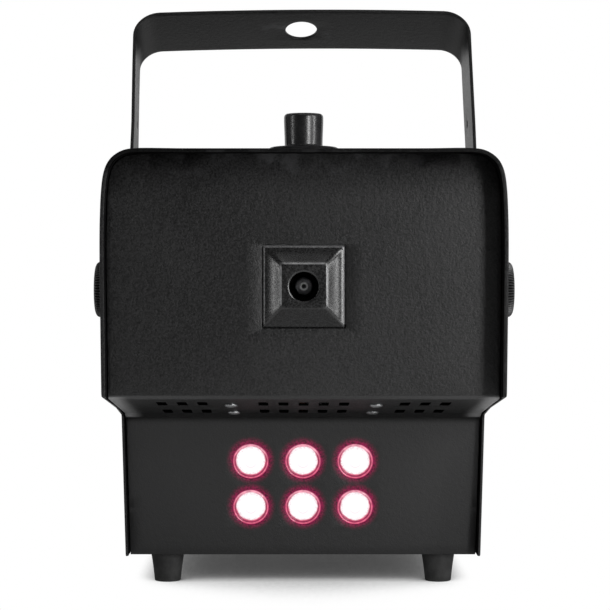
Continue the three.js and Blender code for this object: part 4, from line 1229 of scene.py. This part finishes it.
def build_stud(side, matrix):
    segments = 36
    rings = []
    for k in range(int((STUD_END - STUD_START) / STUD_STEP) + 1):
        height = STUD_START + k * STUD_STEP
        ring = []
        for i in range(segments):
            a = 2 * math.pi * i / segments
            phase = ((height / STUD_PITCH) - a / (2 * math.pi)) % 1.0
            r = STUD_RADIUS - STUD_GROOVE * abs(2 * phase - 1)
            ring.append(matrix @ Vector((r * math.cos(a), r * math.sin(a), height)))
        rings.append(ring)
    stud = mesh_object(f"knob_stud_{side}", *skin_data(rings), sharp=60)
    dress(stud, DULL_ZINC, f"knob_{side}", "zinc_steel")


for side, s in SIDES:
    axle = frame_at(point(0, AXLE_DEPTH, AXLE_Z), (0, 1, 0), (s, 0, 0))
    build_knob(side, axle)
    build_stud(side, axle)
    washer = lathe(f"washer_{side}", WASHER_PROFILE, 48, axle)
    dress(washer, ZINC, f"clamp_washer_{side}", "zinc_steel", f"clamp_washer_{side}")

# ------------------------------------------------------------------ tank cap, neck thread

CAP_X = 0.7                  # the cap sits slightly to one side on its thread
CAP_PROFILE = [              # (radius, z)
    (0, 270.75), (6.0, 270.8), (9.6, 270.85), (10.35, 270.75), (10.95, 270.4), (11.4, 269.9),
    (11.65, 269.25), (11.75, 268.5), (11.75, 266), (11.6, 262), (11.42, 257.5), (11.3, 252.6),
    (11.35, 251.95), (11.6, 251.7), (12.2, 251.55), (14, 251.4), (18.4, 251.05), (19.5, 250.85),
    (20.4, 250.35), (20.85, 249.6), (21.0, 248.7), (21.0, 240.2), (20.9, 239.6), (20.6, 239.3),
    (18.0, 239.3), (17.6, 239.6), (17.6, 249.4), (0, 249.4)]
SEAL_PROFILE = [
    (13.5, 248.0), (13.6, 247.9), (16.4, 247.9), (16.5, 248.0), (16.5, 249.0), (16.4, 249.1),
    (13.6, 249.1), (13.5, 249.0), (13.5, 248.0)]
NECK = upright(0, NECK_DEPTH)
THREAD_START, THREAD_PITCH, THREAD_TURNS = 240.2, 3.12, 1.9

cap = lathe("cap_body", CAP_PROFILE, 96, upright(CAP_X, NECK_DEPTH), sharp=50)
dress(cap, GLOSS_PLASTIC, "tank_cap", "gloss_black_plastic", "tank_cap")
seal = lathe("cap_seal", SEAL_PROFILE, 64, NECK)
dress(seal, GASKET, "tank_gasket", "rubber", "tank_gasket")


def build_thread():
    """Raised thread on the neck, fading out at both ends."""
    steps = 150
    rings = []
    for i in range(steps + 1):
        t = i / steps
        a = t * 2 * math.pi * THREAD_TURNS
        z = THREAD_START + THREAD_PITCH * THREAD_TURNS * t
        crest = 16.5 + 0.34 * max(min(1.0, t / 0.05, (1 - t) / 0.05), 0.02)
        section = [(16.4, -0.95), (crest, -0.3), (crest, 0.3), (16.4, 0.95)]
        rings.append([NECK @ Vector((r * math.cos(a), r * math.sin(a), z + up))
                      for r, up in section])
    thread = mesh_object("neck_thread", *skin_data(rings), sharp=30)
    dress(thread, TANK_PLASTIC, "housing", "tank_plastic")


build_thread()

# ------------------------------------------------------------------ tray and rear wall

TRAY_X = 97.0
# (depth, z), walked to the rear, then up: the left-hand normal points into the housing
TRAY = Path2(rounded([(135.6, 27), (135.6, 18.1), (311.0, 18.1), (311.0, 236.6)], 2.0, 6))


def side_flange(s):
    outline = rect2(225, 26, 166, 15.0, 2.0)
    holes = [circle2(d, SIDE_SCREW_Z, SIDE_SCREW_HOLE, 16) for d in SIDE_SCREW_DEPTHS]

    def skin(depth, z, t):
        return (s * (TRAY_X - SHEET * t), depth - MID, z)

    return sheet_data(outline, holes, [150, 170, 200, 230, 260, 290], [], skin,
                      edge=0.28, steps=2)


def build_tray():
    # flat pattern: u is x, v is arc length along the tray
    total = TRAY.total
    wall_start = TRAY.find(1, 24, total - 225, total)
    right = [(TRAY_X, 0.0), (TRAY_X, TRAY.find(0, 306, 100, 200))]
    for s in np.linspace(wall_start, total, 60):
        z = TRAY.offset(s)[1]
        if z < 216:
            right.append((half_width(z) - 2.0, float(s)))
    right += [(x, TRAY.find(1, z, total - 40, total))
              for x, z in reversed(hood_corner(236.4, 2.1))]
    controls = TRAY.find(1, CONTROL_Z, wall_start, total)
    slots = TRAY.find(1, 200, wall_start, total)
    holes = [rect2(-55, controls, 28, 32.4, 0.6), rect2(-16, controls, 13.4, 20.2, 0.5),
             circle2(BUTTON_X, controls, 6.4, 32), circle2(LAMP_X, controls, 3.4, 24),
             circle2(JACK_X, controls, 5.4, 32)]
    holes += [rect2(x, slots, 5, 25.2, 0.9) for x in range(-63, 64, 21)]
    holes += [circle2(x, TRAY.find(0, depth, 5, 190), 2.3, 16)
              for _, depth in FOOT_DEPTHS for x in (-FOOT_X, FOOT_X)]
    u_lines = [-94, -80, -60, -40, -20, 0, 20, 40, 60, 80, 94]

    def skin(u, s, t):
        depth, z = TRAY.offset(s, SHEET * t)
        return (u, depth - MID, z)

    data = sheet_data(mirrored(right), holes, u_lines,
                      TRAY.lines(np.linspace(18, total - 10, 26)), skin, edge=0.28, steps=2)
    ob = merged("tray_sheet", [data, side_flange(-1), side_flange(1)], sharp=50)
    dress(ob, TRAY_POWDER, "housing", "powder_coat", "chassis_tray")


build_tray()

# ------------------------------------------------------------------ rear controls

CONTROL_DEPTH = 311.3        # seat of the controls on the rear wall
# profiles: (radius, distance behind the seat), negative inside the housing
BEZEL_PROFILE = [
    (0, -19.3), (6, -19.3), (6, 0), (8.4, 0), (8.6, 0.3), (8.6, 1.3), (8.2, 1.9), (7.4, 2.3),
    (5.6, 2.45), (5.1, 2.3), (4.8, 1.9), (4.8, -14.3), (0, -14.3)]
BUTTON_PROFILE = [
    (0, -11.3), (4.4, -11.3), (4.4, 4.7), (4.25, 5.3), (3.8, 5.7), (3.0, 5.85), (1.5, 5.75),
    (0, 5.65)]
LAMP_PROFILE = [
    (0, -15.3), (3, -15.3), (3, 0), (4.5, 0), (4.6, 0.2), (4.6, 0.8), (4.3, 1.1), (3.3, 1.3),
    (3.0, 1.6), (2.9, 2.4), (2.5, 3.3), (1.7, 4.0), (0.8, 4.4), (0, 4.5)]
JACK_PROFILE = [
    (0, -21.3), (5, -21.3), (5, 0), (7.8, 0), (8, 0.2), (8, 1.6), (7.6, 1.9), (6.6, 2.0),
    (6.2, 2.6), (3.9, 2.6), (3.4, 2.3), (3.3, 1.8), (3.3, -18.3), (0, -18.3)]
# name, profile, segments, x, material, body it rides, slot, replaced node
CONTROLS = [
    ("button_bezel", BEZEL_PROFILE, 56, BUTTON_X, BLACK_PLASTIC, "housing", "black_plastic",
     "fog_button_body"),
    ("push_button", BUTTON_PROFILE, 48, BUTTON_X, RED, "fog_button", "red_button", "fog_button"),
    ("lamp_lens", LAMP_PROFILE, 40, LAMP_X, GREEN_LAMP, "housing", "green_lamp", "ready_lamp"),
    ("jack_body", JACK_PROFILE, 48, JACK_X, BLACK_PLASTIC, "housing", "black_plastic",
     "remote_socket")]
for name, profile, segments, x, *looks in CONTROLS:
    matrix = frame_at(point(x, CONTROL_DEPTH, CONTROL_Z), (-1, 0, 0), (0, 1, 0))
    dress(lathe(name, profile, segments, matrix), *looks)

# ------------------------------------------------------------------ pieces kept from the CAD

PAINTED = [
    (ALUMINIUM, ["heater_block"]),
    (WOOL, ["heater_insulation"]),
    (DULL_ZINC, ["heater_bracket_left", "heater_bracket_right", "thermal_fuse",
                 "clinch_nut_left", "clinch_nut_right", "pump_frame", "pump_plunger"]),
    (BLACK_PLASTIC, ["thermostat", "rear_inlet", "switch_body"]),
    (DRAWER, ["fuse_drawer"]),
    (GLOSS_PLASTIC, ["switch_rocker"]),
    (BOARD, ["led_board", "main_board"]),
    (TANK_PLASTIC, ["fluid_tank", "pump_body"]),
    (COIL_TAPE, ["pump_coil"]),
    (COPPER, ["delivery_tube"]),
    (CLEAR, ["suction_tube", "fuse"])]
for material, names in PAINTED:
    for name in names:
        slots = NODES[name].data.materials
        slots.clear()
        slots.append(material.mat)

BEVELS = [                   # node, bevel width
    ("rear_inlet", 0.45), ("switch_body", 0.35), ("switch_rocker", 0.3), ("fuse_drawer", 0.3),
    ("heater_bracket_left", 0.3), ("heater_bracket_right", 0.3), ("heater_block", 0.8),
    ("pump_frame", 0.4)]
for name, width in BEVELS:
    bevel = NODES[name].modifiers.new("edges", "BEVEL")
    bevel.width = width * MM
    bevel.segments = 2
    bevel.limit_method = "ANGLE"
    bevel.angle_limit = math.radians(35)
    normals = NODES[name].modifiers.new("normals", "WEIGHTED_NORMAL")
    normals.keep_sharp = True

# ------------------------------------------------------------------ studio, in metres

scene = bpy.context.scene
scene.view_settings.view_transform = "Standard"
scene.view_settings.look = "None"
scene.view_settings.exposure = 0.0
scene.view_settings.gamma = 1.0
FLOOR_HALF = 6.0


def floor_material():
    n = Material("pale_floor")
    n.set("Base Color", n.mix(n.rise(n.noise(scale=3, detail=2), at=(0.3, 0.7)),
                              rgb(0.34, 0.34, 0.34), rgb(0.36, 0.36, 0.36)))
    n.set("Roughness", 0.8)
    n.set("Specular IOR Level", 0.1)
    n.set("Emission Color", rgb(1, 1, 1))
    # brightest just in front of the object, with a second pool behind it
    y = n.axis(1)
    front = n.band(y, up=(-1.0, -0.6), down=(-0.16, 0.0))
    behind = n.times(n.ramp(y, at=(0.15, 0.30), to=(0.0, 0.42)), n.fall(y, at=(0.7, 1.1)))
    n.set("Emission Strength", n.plus(0.05, n.plus(n.times(front, 0.45), behind)))
    # seen directly, it is burnt out to white and only the contact shadow is left
    occlusion = n.node("ShaderNodeAmbientOcclusion")
    occlusion.samples = 24
    occlusion.inputs["Distance"].default_value = 0.16
    seen = n.node("ShaderNodeEmission")
    shadow = n.ramp(occlusion.outputs["AO"], at=(0.02, 0.42), to=(0.06, 1.0))
    n.link(shadow, seen.inputs["Strength"])
    choice = n.node("ShaderNodeMixShader")
    path = n.node("ShaderNodeLightPath")
    n.link(path.outputs["Is Camera Ray"], choice.inputs[0])
    n.link(n.bsdf.outputs["BSDF"], choice.inputs[1])
    n.link(seen.outputs["Emission"], choice.inputs[2])
    n.link(choice.outputs[0], n.out.inputs["Surface"])
    return n


def build_floor():
    mesh = bpy.data.meshes.new("studio_floor")
    r = FLOOR_HALF
    mesh.from_pydata([(-r, -r, 0), (r, -r, 0), (r, r, 0), (-r, r, 0)], [], [(0, 1, 2, 3)])
    floor = bpy.data.objects.new("studio_floor", mesh)
    scene.collection.objects.link(floor)
    mesh.materials.append(floor_material().mat)


def build_world():
    """White to the camera; as light, brighter to the rear, the sides and overhead."""
    world = bpy.data.worlds.new("studio")
    scene.world = world
    n = Graph(world)
    out = n.node("ShaderNodeOutputWorld")
    seen = n.node("ShaderNodeBackground")
    seen.inputs[0].default_value = rgb(1, 1, 1)
    seen.inputs[1].default_value = 1.0
    lit = n.node("ShaderNodeBackground")
    lit.inputs[0].default_value = rgb(1, 1, 1)
    x, y, z = n.split(n.node("ShaderNodeTexCoord").outputs["Generated"])
    rear = n.ramp(y, at=(0.0, 0.95), to=(0.05, 0.75))
    sides = n.math("MULTIPLY_ADD", n.math("POWER", x, 2.0), 0.3, 1.0)
    overhead = n.math("MULTIPLY_ADD", n.math("MAXIMUM", z, 0.0), 0.5, sides)
    n.link(n.times(rear, overhead), lit.inputs[1])
    path = n.node("ShaderNodeLightPath")
    choice = n.node("ShaderNodeMixShader")
    n.link(path.outputs["Is Camera Ray"], choice.inputs[0])
    n.link(lit.outputs[0], choice.inputs[1])
    n.link(seen.outputs[0], choice.inputs[2])
    n.link(choice.outputs[0], out.inputs["Surface"])


def add_light(data, at, target):
    ob = bpy.data.objects.new(data.name, data)
    ob.location = at
    aim = Vector(target) - Vector(ob.location)
    ob.rotation_euler = aim.to_track_quat("-Z", "Y").to_euler()
    scene.collection.objects.link(ob)
    return ob


def area(name, at, size, power, target=(0, -0.05, 0.16)):
    light = bpy.data.lights.new(name, "AREA")
    light.shape = "RECTANGLE"
    light.size, light.size_y = size
    light.energy = power
    add_light(light, at, target)


def polar(azimuth, distance, height):
    """Place at an azimuth in degrees from the front (-Y), positive towards +X."""
    a = math.radians(azimuth)
    return (math.sin(a) * distance, -math.cos(a) * distance, height)


def build_snoot():
    """Narrow spot that picks out the outlet inside the cover."""
    snoot = bpy.data.lights.new("snoot", "SPOT")
    snoot.energy = 0.6
    snoot.spot_size = 0.0175
    snoot.spot_blend = 0.3
    snoot.shadow_soft_size = 0.004
    ob = add_light(snoot, at=(0.02, -0.70, 0.185), target=(0, -0.138, NOZZLE_Z * MM))
    ob.visible_camera = False


def build_camera():
    data = bpy.data.cameras.new("camera")
    data.sensor_width = 36.0
    data.lens = 118.03
    data.shift_x = 0.01765574
    data.shift_y = -0.05862295
    data.clip_start, data.clip_end = 0.05, 30
    camera = bpy.data.objects.new("camera", data)
    camera.location = (-0.00493, -1.161, 0.17806)
    camera.rotation_euler = (math.radians(90), 0, 0)
    scene.collection.objects.link(camera)
    scene.camera = camera


build_floor()
build_world()
area("strip_right", at=polar(66, 1.25, 0.42), size=(0.14, 1.1), power=7.6)
area("strip_left", at=polar(-71, 1.35, 0.42), size=(0.13, 1.1), power=3.6)
area("near_key", at=(0.36, -0.60, 0.27), size=(0.10, 0.42), power=2.5,
     target=(0.03, -0.14, 0.18))
area("soft_key", at=polar(36, 1.35, 0.50), size=(0.46, 1.0), power=4.1)
area("strip_top", at=(0.1, -0.35, 1.45), size=(1.2, 0.28), power=1.8, target=(0, 0.0, 0.15))
build_snoot()
build_camera()
